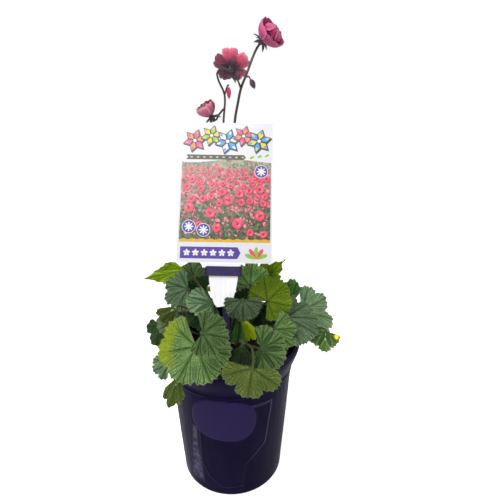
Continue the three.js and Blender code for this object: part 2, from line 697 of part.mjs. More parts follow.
// The stake's frame, with +Y up its length and its foot at the origin
function stakePlace() {
  const foot = vector(STAKE.foot);
  const head = vector([0, -LOOP.drop, -LOOP.slot / 2 - LOOP.bar]).applyMatrix4(cardPlace());
  const up = head.clone().sub(foot).normalize();
  const side = new THREE.Vector3(1, 0, 0).addScaledVector(up, -up.x).normalize();
  const place = new THREE.Matrix4().makeBasis(side, up, side.clone().cross(up)).setPosition(foot);
  return { place, length: head.distanceTo(foot) };
}

function holderBody() {
  const deep = LOOP.slot + 2 * LOOP.bar;
  const ring = solid(new THREE.BoxGeometry(LOOP.width, LOOP.height, deep));
  const slot = solid(new THREE.BoxGeometry(LOOP.width - 2 * LOOP.cheek, 2 * LOOP.height, LOOP.slot));
  const middle = new THREE.Matrix4().makeTranslation(0, -LOOP.drop, 0);
  const loop = placed(ring.subtract(slot), cardPlace().multiply(middle));

  const { place, length } = stakePlace();
  const half = STAKE.width / 2;
  const outline = [[0, 0], [half, STAKE.point], [half, length], [-half, length], [-half, STAKE.point]];
  const shape = new THREE.Shape(outline.map(([x, y]) => new THREE.Vector2(x, y)));
  const stake = new THREE.ExtrudeGeometry(shape, { depth: STAKE.thick, bevelEnabled: false });
  return loop.add(solid(stake.translate(0, 0, -STAKE.thick / 2).applyMatrix4(place)));
}

// The stake's slit, open at the top of the soil
function stakeSlit() {
  const { place, length } = stakePlace();
  const slit = new THREE.BoxGeometry(STAKE.width + 2 * GAP, length + 1, STAKE.thick + 2 * GAP);
  return solid(slit.translate(0, length / 2 - 0.5, 0).applyMatrix4(place));
}

// The plant in its pot

const plant = new THREE.Group();
plant.name = 'potted_geum';

const stems = leaves.map((leaf) => ({ place: leafRoot(leaf), radius: STALK_RADIUS }));
for (const points of Object.values(SCAPES)) {
  stems.push({ place: vector(points[0]), radius: SCAPE_RADIUS + GAP });
}

plant.add(piece('pot', potBody(), 'pot', 0.35));
plant.add(piece('soil', soilBody(stems).subtract(stakeSlit()), 'soil', 0.95));
plant.add(piece('label_card', cardBody(), 'card', 0.3));
plant.add(piece('label_holder', holderBody(), 'holder', 0.4));
for (const leaf of leaves) plant.add(piece(leaf.name, leafBody(leaf), leaf.tone));
plant.add(piece('scape_left', scapeLeft(), 'stem'));
plant.add(piece('scape_right', scapeRight(), 'stem'));
for (const [name, bloom] of Object.entries(BLOOMS)) {
  plant.add(piece(`petals_${name}`, placed(bloomPetals(bloom), bloomPlace(bloom)), bloom.tone));
  plant.add(piece(`stamens_${name}`, placed(bloomStamens(bloom), bloomPlace(bloom)), 'tan'));
}
plant.add(piece('bud_coral', bud(...CORAL_BUD), 'coral'));

export default plant;
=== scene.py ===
# %% [markdown]
# # Dressing a potted geum
# The object is a geum in a 140 mm nursery pot, with a picture label that a push-in holder keeps
# upright in the soil. The CAD frame has every leaf, stem and bloom as a plain faceted solid. The
# lesson rebuilds each one finely from the same numbers, so that every piece stays on its solid,
# and gives it a material made of nodes.

# %% Load the frame and keep its box
import math

import bmesh
import bpy
import numpy as np
from mathutils import Matrix, Vector


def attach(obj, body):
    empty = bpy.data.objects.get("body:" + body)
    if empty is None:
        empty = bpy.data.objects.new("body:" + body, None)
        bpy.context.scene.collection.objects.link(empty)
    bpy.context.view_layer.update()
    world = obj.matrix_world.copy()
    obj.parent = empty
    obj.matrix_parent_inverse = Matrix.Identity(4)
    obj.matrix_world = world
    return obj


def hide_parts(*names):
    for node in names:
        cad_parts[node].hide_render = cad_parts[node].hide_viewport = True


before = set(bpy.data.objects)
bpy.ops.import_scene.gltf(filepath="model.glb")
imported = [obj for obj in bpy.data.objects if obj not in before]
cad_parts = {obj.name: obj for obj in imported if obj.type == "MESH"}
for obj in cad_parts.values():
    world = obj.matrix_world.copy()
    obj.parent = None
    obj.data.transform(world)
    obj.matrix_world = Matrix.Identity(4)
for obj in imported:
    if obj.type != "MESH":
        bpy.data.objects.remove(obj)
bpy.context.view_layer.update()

# %% [markdown]
# ## The camera and the light
# The photograph was taken from a little above the leaves, with a short lens close to the plant.
# A camera could be placed by eye, but this one comes from a fit of the pot's rim, its base and the
# corners of the label. The light is a large soft lamp above the front left, with two weaker ones
# lower down at the left and at the right, over a pale floor, because the photograph shows soft
# edges and hardly any shadow.

# %% Place the camera
CAMERA_PLACE = (0, -0.379, 0.380)
CAMERA_TURN = (70.9, 0, -2.93)
LENS = 30.24

lens = bpy.data.cameras.new("photo_camera")
lens.lens, lens.sensor_width, lens.clip_start = LENS, 36, 0.01
camera = bpy.data.objects.new("photo_camera", lens)
camera.location = CAMERA_PLACE
camera.rotation_euler = [math.radians(a) for a in CAMERA_TURN]
bpy.context.scene.collection.objects.link(camera)
bpy.context.scene.camera = camera
bpy.context.scene.view_settings.view_transform = "Standard"
print("camera at", CAMERA_PLACE, "in metres, with a", LENS, "mm lens")


# %% Hang the lamps
def hang_lamp(name, place, target, width, power):
    """A square lamp that faces the target."""
    lamp = bpy.data.lights.new(name, "AREA")
    lamp.size, lamp.energy = width, power
    holder = bpy.data.objects.new(name, lamp)
    holder.location = place
    aim = Vector(target) - Vector(place)
    holder.rotation_euler = aim.to_track_quat("-Z", "Y").to_euler()
    bpy.context.scene.collection.objects.link(holder)


MIDDLE = (0, 0, 0.2)
hang_lamp("sky_lamp", (-0.35, -0.45, 1.35), MIDDLE, 0.9, 15)
hang_lamp("front_lamp", (-0.7, -1.3, 0.7), MIDDLE, 0.5, 5)
hang_lamp("side_lamp", (1.2, -0.1, 0.7), MIDDLE, 0.5, 4)
print("lamps:", [light.name for light in bpy.data.lights])

# %% Paint the room: white to the camera, and dimmer to the plant
ROOM_LIGHT, BACKDROP = 0.33, 1.0
world = bpy.data.worlds.new("pale_room")
world.use_nodes = True
room = world.node_tree
background = room.nodes["Background"]
background.inputs["Color"].default_value = (1.0, 1.0, 1.0, 1)
seen = room.nodes.new("ShaderNodeLightPath").outputs["Is Camera Ray"]
level = room.nodes.new("ShaderNodeMapRange")
level.inputs["To Min"].default_value = ROOM_LIGHT
level.inputs["To Max"].default_value = BACKDROP
room.links.new(seen, level.inputs["Value"])
room.links.new(level.outputs[0], background.inputs["Strength"])
bpy.context.scene.world = world
print("the room lights the plant with", ROOM_LIGHT)

# %% [markdown]
# ## Helpers for meshes
# A plant is made of a few kinds of form: thin sheets such as leaves and petals, tubes such as
# stems, turned shapes such as the pot, and hairs. Modifiers could make them, but plain arrays are
# quicker for thousands of small forms, and they can carry extra marks, such as how far a point is
# from a vein, for the materials to read. Lengths are in millimetres until a piece is built.

# %% Collect closed forms into one piece
MM = 0.001


class Piece:
    """Closed forms that become one mesh. A mark is a number at each point, for the materials."""

    def __init__(self, name):
        self.name, self.count = name, 0
        self.points, self.faces, self.finishes, self.marks = [], [], [], []

    def add(self, points, faces, finish=0, **marks):
        """Adds one form. faces is a list of blocks, and finish numbers their materials."""
        points = np.asarray(points, float).reshape(-1, 3)
        finishes = finish if isinstance(finish, (list, tuple)) else [finish] * len(faces)
        for block, number in zip(faces, finishes):
            self.faces.append(np.asarray(block, int) + self.count)
            self.finishes.append(np.full(len(block), number))
        self.marks.append((len(points), marks))
        self.points.append(points)
        self.count += len(points)

    def build(self, materials, slot, stands_for, crease=50):
        """Makes the mesh and hides the nodes of the CAD source that it replaces."""
        mesh = bpy.data.meshes.new(self.name)
        corners = np.concatenate([block.ravel() for block in self.faces])
        sizes = np.concatenate([np.full(len(block), block.shape[1]) for block in self.faces])
        mesh.vertices.add(self.count)
        mesh.vertices.foreach_set("co", (np.concatenate(self.points) * MM).ravel())
        mesh.loops.add(len(corners))
        mesh.loops.foreach_set("vertex_index", corners)
        mesh.polygons.add(len(sizes))
        mesh.polygons.foreach_set("loop_start", np.cumsum(sizes) - sizes)
        mesh.polygons.foreach_set("material_index", np.concatenate(self.finishes))
        mesh.update(calc_edges=True)
        for name in sorted({name for _, marks in self.marks for name in marks}):
            values = [np.broadcast_to(np.ravel(marks.get(name, 0.0)), count)
                      for count, marks in self.marks]
            mark = mesh.attributes.new(name, "FLOAT", "POINT")
            mark.data.foreach_set("value", np.concatenate(values).astype(np.float32))
        mesh.shade_smooth()
        mesh.set_sharp_from_angle(angle=math.radians(crease))
        for material in materials:
            mesh.materials.append(material)
        body = bpy.data.objects.new(self.name, mesh)
        bpy.context.scene.collection.objects.link(body)
        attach(body, "root")
        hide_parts(*stands_for)
        print(f"{self.name}: {int((sizes - 2).sum())} triangles")


# %% A grid of faces, and a thin closed sheet from a grid of points
def grid_faces(rows, columns, wraps=False):
    """Quads between rows of points. A grid that wraps joins its last column to its first."""
    index = np.arange(rows * columns).reshape(rows, columns)
    if wraps:
        index = np.concatenate([index, index[:, :1]], axis=1)
    quads = [index[:-1, :-1], index[1:, :-1], index[1:, 1:], index[:-1, 1:]]
    return np.stack(quads, -1).reshape(-1, 4)


def unit(vectors):
    """The same ways with a length of 1."""
    return vectors / np.maximum(np.linalg.norm(vectors, axis=-1, keepdims=True), 1e-9)


def grid_normals(grid):
    """The way that a grid of points faces at each of them."""
    return unit(np.cross(np.gradient(grid, axis=0), np.gradient(grid, axis=1)))


def thin_sheet(grid, over, under):
    """Points, and the blocks of faces on top, underneath and round the edge."""
    rows, columns = grid.shape[:2]
    normal = grid_normals(grid)
    upper = grid + normal * np.broadcast_to(over, (rows, columns))[..., None]
    lower = grid - normal * np.broadcast_to(under, (rows, columns))[..., None]
    count = rows * columns
    top = grid_faces(rows, columns)
    index = np.arange(count).reshape(rows, columns)
    edge = np.concatenate([index[:-1, 0], index[-1, :-1], index[:0:-1, -1], index[0, :0:-1]])
    after = np.roll(edge, -1)
    rim = np.stack([after, edge, edge + count, after + count], -1)
    return np.concatenate([upper.reshape(-1, 3), lower.reshape(-1, 3)]), [top, top[:, ::-1] + count, rim]


print("a sheet of 3 by 4 points has", [len(block) for block in thin_sheet(np.zeros((3, 4, 3)), 1, 1)[1]],
      "faces on top, underneath and round its edge")


# %% Rings that close onto a point at each end
def around(count):
    """This many angles, evenly round a full turn."""
    return np.linspace(0, 2 * math.pi, count, endpoint=False)


def ring_faces(rings, sides):
    """The faces of rings that follow each other, and of a fan onto a point at either end."""
    last = rings * sides
    ring = np.arange(sides)
    after = (ring + 1) % sides
    foot = np.stack([np.full(sides, last), after, ring], -1)
    tip = np.stack([np.full(sides, last + 1), ring + last - sides, after + last - sides], -1)
    return [grid_faces(rings, sides, wraps=True)[:, ::-1], foot, tip]


print("a tube of 5 rings with 8 sides has", sum(len(block) for block in ring_faces(5, 8)), "faces")


# %% A tube along a line, a turned shape, and hairs
def tube(line, radius, sides=8):
    """A round bar along a line, whose rings don't twist."""
    line = np.asarray(line, float)
    radius = np.broadcast_to(radius, len(line))
    tangent = unit(np.gradient(line, axis=0))
    side = np.cross(tangent[0], (0.31, 0.72, 0.62))
    angle = around(sides)
    rings = []
    for place, along, r in zip(line, tangent, radius):
        side = unit(side - along * (side @ along))
        other = np.cross(along, side)
        rings.append(place + r * (np.outer(np.cos(angle), side) + np.outer(np.sin(angle), other)))
    return np.concatenate([*rings, line[:1], line[-1:]]), ring_faces(len(line), sides)


def turned(profile, sides):
    """A profile of radius and height, turned about Z, that starts and ends on the axis."""
    profile = np.asarray(profile, float)
    angle = around(sides)
    radius, height = profile[1:-1].T
    rings = np.stack([np.outer(radius, np.cos(angle)), np.outer(radius, np.sin(angle)),
                      np.repeat(height[:, None], sides, 1)], -1)
    ends = [[0, 0, profile[0, 1]], [0, 0, profile[-1, 1]]]
    return np.concatenate([rings.reshape(-1, 3), ends]), ring_faces(len(radius), sides)


def hairs(roots, ways, lengths, width=0.07):
    """A thin spike of four faces at each root."""
    ways = unit(ways)
    side = unit(np.cross(ways, (0.36, -0.48, 0.8)))
    other = np.cross(ways, side)
    corners = [roots - ways * width + width * (math.cos(a) * side + math.sin(a) * other)
               for a in (0, 2.094, 4.189)]
    points = np.stack([*corners, roots + ways * np.reshape(lengths, (-1, 1))], 1).reshape(-1, 3)
    spike = np.array([[2, 1, 0], [0, 1, 3], [1, 2, 3], [2, 0, 3]])
    return points, [(np.arange(len(roots))[:, None, None] * 4 + spike).reshape(-1, 3)]


print("a straight tube with two rings has", len(tube([(0, 0, 0), (0, 0, 9)], 1)[0]), "points")


# %% Smooth lines and smooth unevenness
def bezier(a, b, c, d, count):
    """A curve from a to d that sets off towards b and arrives from c."""
    t = np.linspace(0, 1, count)[:, None]
    return (1 - t) ** 3 * a + 3 * (1 - t) ** 2 * t * b + 3 * (1 - t) * t * t * c + t**3 * d


def smooth_line(points, steps=8):
    """The centripetal curve through the points, as the CAD source draws it."""
    points = np.asarray(points, float)
    knots = np.concatenate([[2 * points[0] - points[1]], points, [2 * points[-1] - points[-2]]])
    t = np.linspace(0, 1, steps, endpoint=False)[:, None]
    line = []
    for a, b, c, d in zip(knots, knots[1:], knots[2:], knots[3:]):
        before, here, beyond = (np.linalg.norm(q - p) ** 0.5 for p, q in ((a, b), (b, c), (c, d)))
        start = here * ((b - a) / before - (c - a) / (before + here) + (c - b) / here)
        end = here * ((c - b) / here - (d - b) / (here + beyond) + (d - c) / beyond)
        line.append((2 * t**3 - 3 * t**2 + 1) * b + (t**3 - 2 * t**2 + t) * start
                    + (3 * t**2 - 2 * t**3) * c + (t**3 - t**2) * end)
    return np.concatenate([*line, points[-1:]])


def wander(points, size, seed, waves=6):
    """A smooth random number, mostly between -1 and 1, that changes over about this many mm."""
    random = np.random.default_rng(seed)
    total = np.zeros(points.shape[:-1])
    for _ in range(waves):
        way = unit(random.normal(size=3)) * 2 * math.pi / (size * random.uniform(0.6, 1.5))
        total += np.sin(points @ way + random.uniform(0, 2 * math.pi))
    return total * 1.4 / waves


def smooth_step(value, low, high):
    """Rises softly from 0 at low to 1 at high."""
    t = np.clip((value - low) / (high - low), 0, 1)
    return t * t * (3 - 2 * t)


print("a smooth line through 3 points has", len(smooth_line([(0, 0, 0), (0, 0, 5), (4, 0, 9)])), "points")


# %% [markdown]
# ## Helpers for materials
# Each material is one Principled shader with nodes for its colour, roughness and bump. Effects
# that several materials need are node groups, built once: an uneven tint, the fine bump of a hairy
# skin, and the scuffs of moulded plastic. Values that are the same all over stay on the shader.

# %% Short ways to make nodes
def paint(code):
    """A colour as it is seen on screen, turned into the linear colour that nodes use."""
    parts = [int(code[i:i + 2], 16) / 255 for i in (1, 3, 5)]
    return [c / 12.92 if c <= 0.04045 else ((c + 0.055) / 1.055) ** 2.4 for c in parts] + [1]


def feed(tree, socket, value):
    """Links the value to the socket where it comes from a node, and sets it where it is plain."""
    if isinstance(value, bpy.types.NodeSocket):
        tree.links.new(value, socket)
    else:
        socket.default_value = value


def node(tree, kind, inputs=None, **settings):
    """A node with its settings and its inputs, given by name or number."""
    made = tree.nodes.new(kind)
    for key, value in settings.items():
        setattr(made, key, value)
    for socket, value in (inputs or {}).items():
        feed(tree, made.inputs[socket], value)
    return made


def spread(tree, value, low, high, to_low=0.0, to_high=1.0):
    """Carries the range from low to high over to another range, and stops at its ends."""
    made = node(tree, "ShaderNodeMapRange", {0: value, 1: low, 2: high, 3: to_low, 4: to_high})
    return made.outputs[0]


def sums(tree, kind, a, b=0.0, c=0.0):
    """One step of arithmetic."""
    return node(tree, "ShaderNodeMath", {0: a, 1: b, 2: c}, operation=kind).outputs[0]


def mix(tree, share, first, second):
    """A colour between two others."""
    return node(tree, "ShaderNodeMix", {0: share, 6: first, 7: second}, data_type="RGBA").outputs[2]


def mark(tree, name):
    """The number that the mesh carries under this name."""
    return node(tree, "ShaderNodeAttribute", attribute_name=name).outputs["Fac"]


print("a mid grey on screen is", round(paint("#808080")[0], 3), "in linear light")


# %% A new material, and the wires to its shader
def new_material(name, **values):
    """A material, its node tree and its shader, with the shader's plain values set."""
    material = bpy.data.materials.new(name)
    material.use_nodes = True
    tree = material.node_tree
    shader = tree.nodes["Principled BSDF"]
    for key, value in values.items():
        shader.inputs[key.replace("_", " ")].default_value = value
    return material, tree, shader


def wire(tree, shader, colour, roughness, height=None, bump=0.3, distance=0.3):
    """Joins a colour, a roughness and a bump height to the shader. distance is in mm."""
    tree.links.new(colour, shader.inputs["Base Color"])
    tree.links.new(roughness, shader.inputs["Roughness"])
    if height is not None:
        made = node(tree, "ShaderNodeBump", {"Strength": bump, "Distance": distance * MM, "Height": height})
        tree.links.new(made.outputs[0], shader.inputs["Normal"])


print("a bump of 1 mm is", MM, "to the shader, which measures in metres")

# %% A new node group, and the noise that most effects start from
FLOAT, COLOUR = "NodeSocketFloat", "NodeSocketColor"


def new_group(name, inputs, outputs):
    """An empty node group with named inputs, each with its first value, and named outputs."""
    group = bpy.data.node_groups.new(name, "ShaderNodeTree")
    for label, kind, value in inputs:
        group.interface.new_socket(name=label, in_out="INPUT", socket_type=kind).default_value = value
    for label, kind in outputs:
        group.interface.new_socket(name=label, in_out="OUTPUT", socket_type=kind)
    return group, group.nodes.new("NodeGroupInput").outputs, group.nodes.new("NodeGroupOutput").inputs


def noise(tree, scale, detail=3.0, stretch=(1, 1, 1)):
    """A cloudy number between 0 and 1 in the object's own space."""
    place = node(tree, "ShaderNodeTexCoord").outputs["Object"]
    moved = node(tree, "ShaderNodeMapping", {"Vector": place, "Scale": stretch}).outputs[0]
    made = node(tree, "ShaderNodeTexNoise",
                {"Vector": moved, "Scale": scale, "Detail": detail, "Roughness": 0.55})
    return made.outputs["Fac"]


print("the kinds of socket:", FLOAT, "and", COLOUR)

# %% The shared effects: a tint, a hairy skin and moulded plastic
uneven_tint, given, gives = new_group(
    "uneven tint",
    [("Colour", COLOUR, (0.5, 0.5, 0.5, 1)), ("Other", COLOUR, (0.2, 0.2, 0.2, 1)),
     ("Scale", FLOAT, 60.0), ("Amount", FLOAT, 0.5)],
    [("Colour", COLOUR), ("Mask", FLOAT)])
patches = noise(uneven_tint, given["Scale"], 4.0)
mask = spread(uneven_tint, patches, 0.36, 0.66)
share = sums(uneven_tint, "MULTIPLY", mask, given["Amount"])
uneven_tint.links.new(mix(uneven_tint, share, given["Colour"], given["Other"]), gives["Colour"])
uneven_tint.links.new(mask, gives["Mask"])

hairy_skin, given, gives = new_group(
    "hairy skin", [("Scale", FLOAT, 900.0), ("Depth", FLOAT, 1.0)], [("Height", FLOAT)])
fine = noise(hairy_skin, given["Scale"], 2.0)
coarse = noise(hairy_skin, sums(hairy_skin, "MULTIPLY", given["Scale"], 0.3), 2.0)
both = sums(hairy_skin, "MULTIPLY_ADD", coarse, 0.6, fine)
hairy_skin.links.new(sums(hairy_skin, "MULTIPLY", both, given["Depth"]), gives["Height"])

moulded_scuffs, given, gives = new_group(
    "moulded scuffs", [("Scale", FLOAT, 90.0), ("Low", FLOAT, 0.3), ("High", FLOAT, 0.5)],
    [("Roughness", FLOAT), ("Height", FLOAT), ("Streaks", FLOAT)])
streaks = noise(moulded_scuffs, given["Scale"], 3.0, stretch=(1, 1, 0.09))
dull = noise(moulded_scuffs, sums(moulded_scuffs, "MULTIPLY", given["Scale"], 0.4), 4.0)
blend = sums(moulded_scuffs, "MULTIPLY_ADD", streaks, 0.6, sums(moulded_scuffs, "MULTIPLY", dull, 0.4))
span = sums(moulded_scuffs, "SUBTRACT", given["High"], given["Low"])
roughness = sums(moulded_scuffs, "MULTIPLY_ADD", blend, span, given["Low"])
moulded_scuffs.links.new(roughness, gives["Roughness"])
grit = noise(moulded_scuffs, 2600.0, 2.0)
moulded_scuffs.links.new(sums(moulded_scuffs, "MULTIPLY_ADD", streaks, 2.0, grit), gives["Height"])
moulded_scuffs.links.new(streaks, gives["Streaks"])
print("shared effects:", [group.name for group in bpy.data.node_groups])


# %% Use a shared effect in a material
def effect(tree, group, **values):
    """Places a shared effect in a material, with this material's own values."""
    made = tree.nodes.new("ShaderNodeGroup")
    made.node_tree = group
    for key, value in values.items():
        feed(tree, made.inputs[key], value)
    return made.outputs


takes = [item.name for item in uneven_tint.interface.items_tree if item.in_out == "INPUT"]
print("an uneven tint takes", takes)

# %% [markdown]
# ## The pot
# The pot is a thin dark violet plastic nursery pot, with a rolled rim, a ledge under it and low
# raised shapes on the wall. It could be a turned mesh with the raised shapes cut in by booleans,
# but a fine turned grid can simply be pushed outward where a raised shape is, which also gives the
# soft edges of moulded plastic. The wall is also a little wavy, so reflections break into streaks.

# %% The pot's measures and its raised shapes
SHOULDER, BASE, WALL, FLOOR = (62, 127), (53.5, 3.5), 1.4, 1.8
RELIEF = 0.5
PANEL = [(-33, 118), (38, 114), (32, 64), (12, 43), (10, 14), (-11, 12), (-24, 24), (-31, 40)]
STRIP = [(-39, 84), (-35, 84), (-30, 12), (-42, 12)]
OVAL = dict(width=60, height=47, corner=20, x=-8, z=100, tilt=6)
SOIL_TOP = 131


def wall_radius(z):
    """The tapered wall's outer radius at this height."""
    return BASE[0] + (SHOULDER[0] - BASE[0]) * (z - BASE[1]) / (SHOULDER[1] - BASE[1])


def oval_outline(steps=8):
    """A box with very round corners, tipped to the right as on the CAD wall."""
    x, z = OVAL["width"] / 2 - OVAL["corner"], OVAL["height"] / 2 - OVAL["corner"]
    corners = [(x, z, 0), (-x, z, 90), (-x, -z, 180), (x, -z, 270)]
    turns = np.radians(np.linspace(0, 90, steps))
    points = [(cx + OVAL["corner"] * math.cos(t + math.radians(a)),
               cz + OVAL["corner"] * math.sin(t + math.radians(a)))
              for cx, cz, a in corners for t in turns]
    tilt = math.radians(OVAL["tilt"])
    turn = np.array([[math.cos(tilt), -math.sin(tilt)], [math.sin(tilt), math.cos(tilt)]])
    return np.array(points) @ turn + (OVAL["x"], OVAL["z"])


def depth_inside(points, outline):
    """How far each point lies inside a closed outline, in mm. Outside it is negative."""
    a = np.asarray(outline, float)
    b = np.roll(a, -1, 0)
    edge = b - a
    offset = points[:, None] - a
    t = np.clip((offset * edge).sum(-1) / (edge * edge).sum(-1), 0, 1)
    distance = np.linalg.norm(offset - t[..., None] * edge, axis=-1).min(1)
    x, z = points[:, :1], points[:, 1:]
    crosses = ((a[:, 1] > z) != (b[:, 1] > z)) & (
        x < a[:, 0] + (z - a[:, 1]) * edge[:, 0] / np.where(edge[:, 1] == 0, 1e-9, edge[:, 1]))
    return np.where(crosses.sum(1) % 2 == 1, distance, -distance)


print("the oval pad's middle lies", depth_inside(np.array([[-8.0, 100.0]]), oval_outline()).round(1)[0],
      "mm inside its outline")


# %% Draw the shell's profile, from the foot up the wall, over the rim and down inside
POT_COLUMNS, WALL_STEP = 420, 1.2
FOOT = [(46, 0), (50, 0), (51.5, 0.4), (52.7, 1.3), (53.3, 2.4)]
LEDGE = [(61.95, 125.6), (62.3, 126), (62.75, 126.6), (62.75, 127.6), (62.4, 128.4), (62.5, 130)]
FLARE = [(63.0, 132.2), (63.7, 134.2), (64.8, 137), (66.1, 140), (67.3, 143), (68.4, 146), (69.3, 149)]
LIP = [(69.85, 151), (70, 152.4), (70, 153.8), (69.7, 154.6), (69.1, 155), (68.2, 155), (67.2, 155),
       (66.6, 154.7), (66.4, 154), (66.4, 151.5)]
INSIDE = [(66.0, 148.4), (65.0, 144), (63.6, 138.6), (62.2, 134.6), (61.4, 131), (60.7, 127)]

shell = FOOT + [(wall_radius(z), z) for z in np.arange(3.5, 125.5, WALL_STEP)] + LEDGE + FLARE + LIP
shell += INSIDE + [(wall_radius(z) - WALL, z) for z in np.arange(120, 4, -16)]
shell = np.array(shell + [(52.1, 3.5), (51.1, FLOOR), (46, FLOOR)])
print("shell:", len(shell), "points, widest at a radius of", shell[:, 0].max(), "mm")

# %% Push the raised shapes outward, and let the wall waver
angle = around(POT_COLUMNS)
radius = np.repeat(shell[:, :1], POT_COLUMNS, 1)
height = np.repeat(shell[:, 1:], POT_COLUMNS, 1)
x, y = radius * np.cos(angle), radius * np.sin(angle)
outer_wall = (np.arange(len(shell)) < np.argmax(shell[:, 1] > 130))[:, None] & (height > 5)
front = np.stack([np.where(y < 0, x, -x).ravel(), height.ravel()], -1)
panel_depth = depth_inside(front, PANEL).reshape(x.shape)
oval_depth = np.where(y < 0, depth_inside(front, oval_outline()).reshape(x.shape), -9)
strip_depth = np.where(y < 0, depth_inside(front, STRIP).reshape(x.shape), -9)

raised = RELIEF * (smooth_step(panel_depth, -0.5, 0.7) + 0.7 * np.exp(-((panel_depth - 1) / 0.9) ** 2))
raised = np.maximum(raised, 2 * RELIEF * smooth_step(oval_depth, -0.6, 0.8))
wall_points = np.stack([x, y, height], -1)
wavy = 0.22 * wander(wall_points * (1, 1, 0.22), 26, 4) + 0.1 * wander(wall_points * (1, 1, 0.3), 9, 5)
radius = radius + np.where(outer_wall, raised + wavy * smooth_step(height, 6, 20), 0)
radius = radius + 0.25 * np.sin(3 * angle + 1) * smooth_step(height, 60, 150) * (radius > 60)
wall_points = np.stack([radius * np.cos(angle), radius * np.sin(angle), height], -1)
print("the wall is raised by up to", round(float(raised.max()), 2), "mm")

# %% Join the shell, and mark the pad, the strip of embossed text and the panel's edge, where highlights are painted
pot = Piece("nursery_pot")
rows = len(shell)
bands = grid_faces(rows, POT_COLUMNS, wraps=True)[:, ::-1]
last = (rows - 1) * POT_COLUMNS
columns = np.arange(POT_COLUMNS)
after = (columns + 1) % POT_COLUMNS
seam = np.stack([columns, after, after + last, columns + last], -1)
# Painted highlight: the panel's edge on the front right gets a light line where the moulded edge catches the
# light.
panel_edge = np.exp(-((panel_depth - 0.4) / 0.7) ** 2) * (x > 0) * (y < 0) * smooth_step(height, 40, 70)
pot.add(wall_points, [bands, seam], pad=smooth_step(oval_depth, -0.5, 0.3) * outer_wall,
        strip=smooth_step(strip_depth, -0.6, 0.6) * outer_wall, panel_edge=panel_edge * outer_wall)
print("pot wall:", rows, "rings of", POT_COLUMNS, "points")

# %% The floor plate with its drain holes
DRAIN = dict(radius=4, circle=38, count=6, steps=28)
PLATE = dict(radius=46.4, steps=96)


def drilled_plate():
    """The floor's outline and holes, filled flat and given its thickness.

    Its walls come in another order on each run, so they are sorted to be the same every time.
    """
    plate = bmesh.new()
    loops = [(0, 0, PLATE["radius"], PLATE["steps"])]
    for i in range(DRAIN["count"]):
        turn = (i + 0.5) / DRAIN["count"] * 2 * math.pi
        loops.append((DRAIN["circle"] * math.cos(turn), DRAIN["circle"] * math.sin(turn),
                      DRAIN["radius"], DRAIN["steps"]))
    edges = []
    for cx, cy, r, steps in loops:
        ring = [plate.verts.new((cx + r * math.cos(t), cy + r * math.sin(t), 0))
                for t in around(steps)]
        edges += [plate.edges.new((ring[k], ring[(k + 1) % steps])) for k in range(steps)]
    filled = bmesh.ops.triangle_fill(plate, edges=edges, use_beauty=True)["geom"]
    flat = [f for f in filled if isinstance(f, bmesh.types.BMFace)]
    lifted = bmesh.ops.extrude_face_region(plate, geom=flat)["geom"]
    top = [v for v in lifted if isinstance(v, bmesh.types.BMVert)]
    bmesh.ops.translate(plate, verts=top, vec=(0, 0, FLOOR))
    bmesh.ops.recalc_face_normals(plate, faces=plate.faces)
    plate.verts.index_update()
    points = np.array([v.co for v in plate.verts])
    threes = [[v.index for v in f.verts] for f in plate.faces if len(f.verts) == 3]
    fours = sorted([v.index for v in f.verts] for f in plate.faces if len(f.verts) == 4)
    plate.free()
    return points, [np.array(threes), np.array(fours)]


pot.add(*drilled_plate())
print(DRAIN["count"], "drain holes, each", 2 * DRAIN["radius"], "mm across")

# %% The pot's plastic
pot_plastic, tree, shader = new_material("pot plastic", Specular_IOR_Level=0.025)
scuffs = effect(tree, moulded_scuffs, Scale=70.0, Low=0.2, High=0.46)
tint = effect(tree, uneven_tint, Colour=paint("#130d2e"), Other=paint("#0b0720"), Scale=26.0, Amount=0.8)
colour = mix(tree, spread(tree, scuffs["Streaks"], 0.55, 0.8, 0, 0.3), tint["Colour"], paint("#221b3a"))
# Painted highlight: light streaks on the strip where the wall carries embossed text, which isn't modelled.
strip_highlight_streaks = spread(tree, noise(tree, 190.0), 0.4, 0.62, 0.15, 0.85)
painted_highlights = sums(tree, "MULTIPLY", mark(tree, "strip"), strip_highlight_streaks)
# Painted highlights: the strip of embossed text and the panel's edge are lightened.
painted_highlights = sums(tree, "MAXIMUM", painted_highlights, sums(tree, "MULTIPLY", mark(tree, "panel_edge"), 0.7))
colour = mix(tree, painted_highlights, colour, paint("#524e68"))
colour = mix(tree, mark(tree, "pad"), colour, paint("#2a2148"))
geometry = node(tree, "ShaderNodeNewGeometry").outputs
upward = node(tree, "ShaderNodeSeparateXYZ", {0: geometry["Normal"]}).outputs["Z"]
# Painted highlight: faces that look upward, such as the rim's lip, are lightened as if lit from above.
colour = mix(tree, spread(tree, upward, 0.25, 0.8, 0, 0.6), colour, paint("#3f3b62"))
specks = spread(tree, noise(tree, 420.0, 4.0), 0.6, 0.68)
dust = sums(tree, "MULTIPLY", spread(tree, upward, 0.5, 0.95), specks)
colour = mix(tree, sums(tree, "MULTIPLY", dust, 0.5), colour, paint("#5b5047"))
wire(tree, shader, colour, scuffs["Roughness"], scuffs["Height"], bump=0.25, distance=0.12)
pot.build([pot_plastic], "pot", ["pot"], crease=60)

# %% [markdown]
# ## The soil
# Moist potting mix fills the pot to 24 mm below the rim. A flat disc would look like paint, and a
# particle system isn't kept by the export, so the surface is a lumpy grid with a few hundred loose
# crumbs, bits of bark and white perlite set into it.

# %% Raise the soil's surface
SOIL_COLUMNS, GAP = 150, 0.4
SOIL_FOOT = (49, 2.2)


def soil_height(x, y):
    """The height of the soil's uneven surface."""
    lump = np.sin(x * 0.21 + 1) * np.cos(y * 0.17 - 2) + 0.5 * np.sin(x * 0.11 - y * 0.13)
    flat = np.stack([x, y, np.zeros_like(x)], -1)
    return SOIL_TOP + 1.2 * lump + 0.9 * wander(flat, 11, 21) + 0.55 * wander(flat, 4.5, 22)


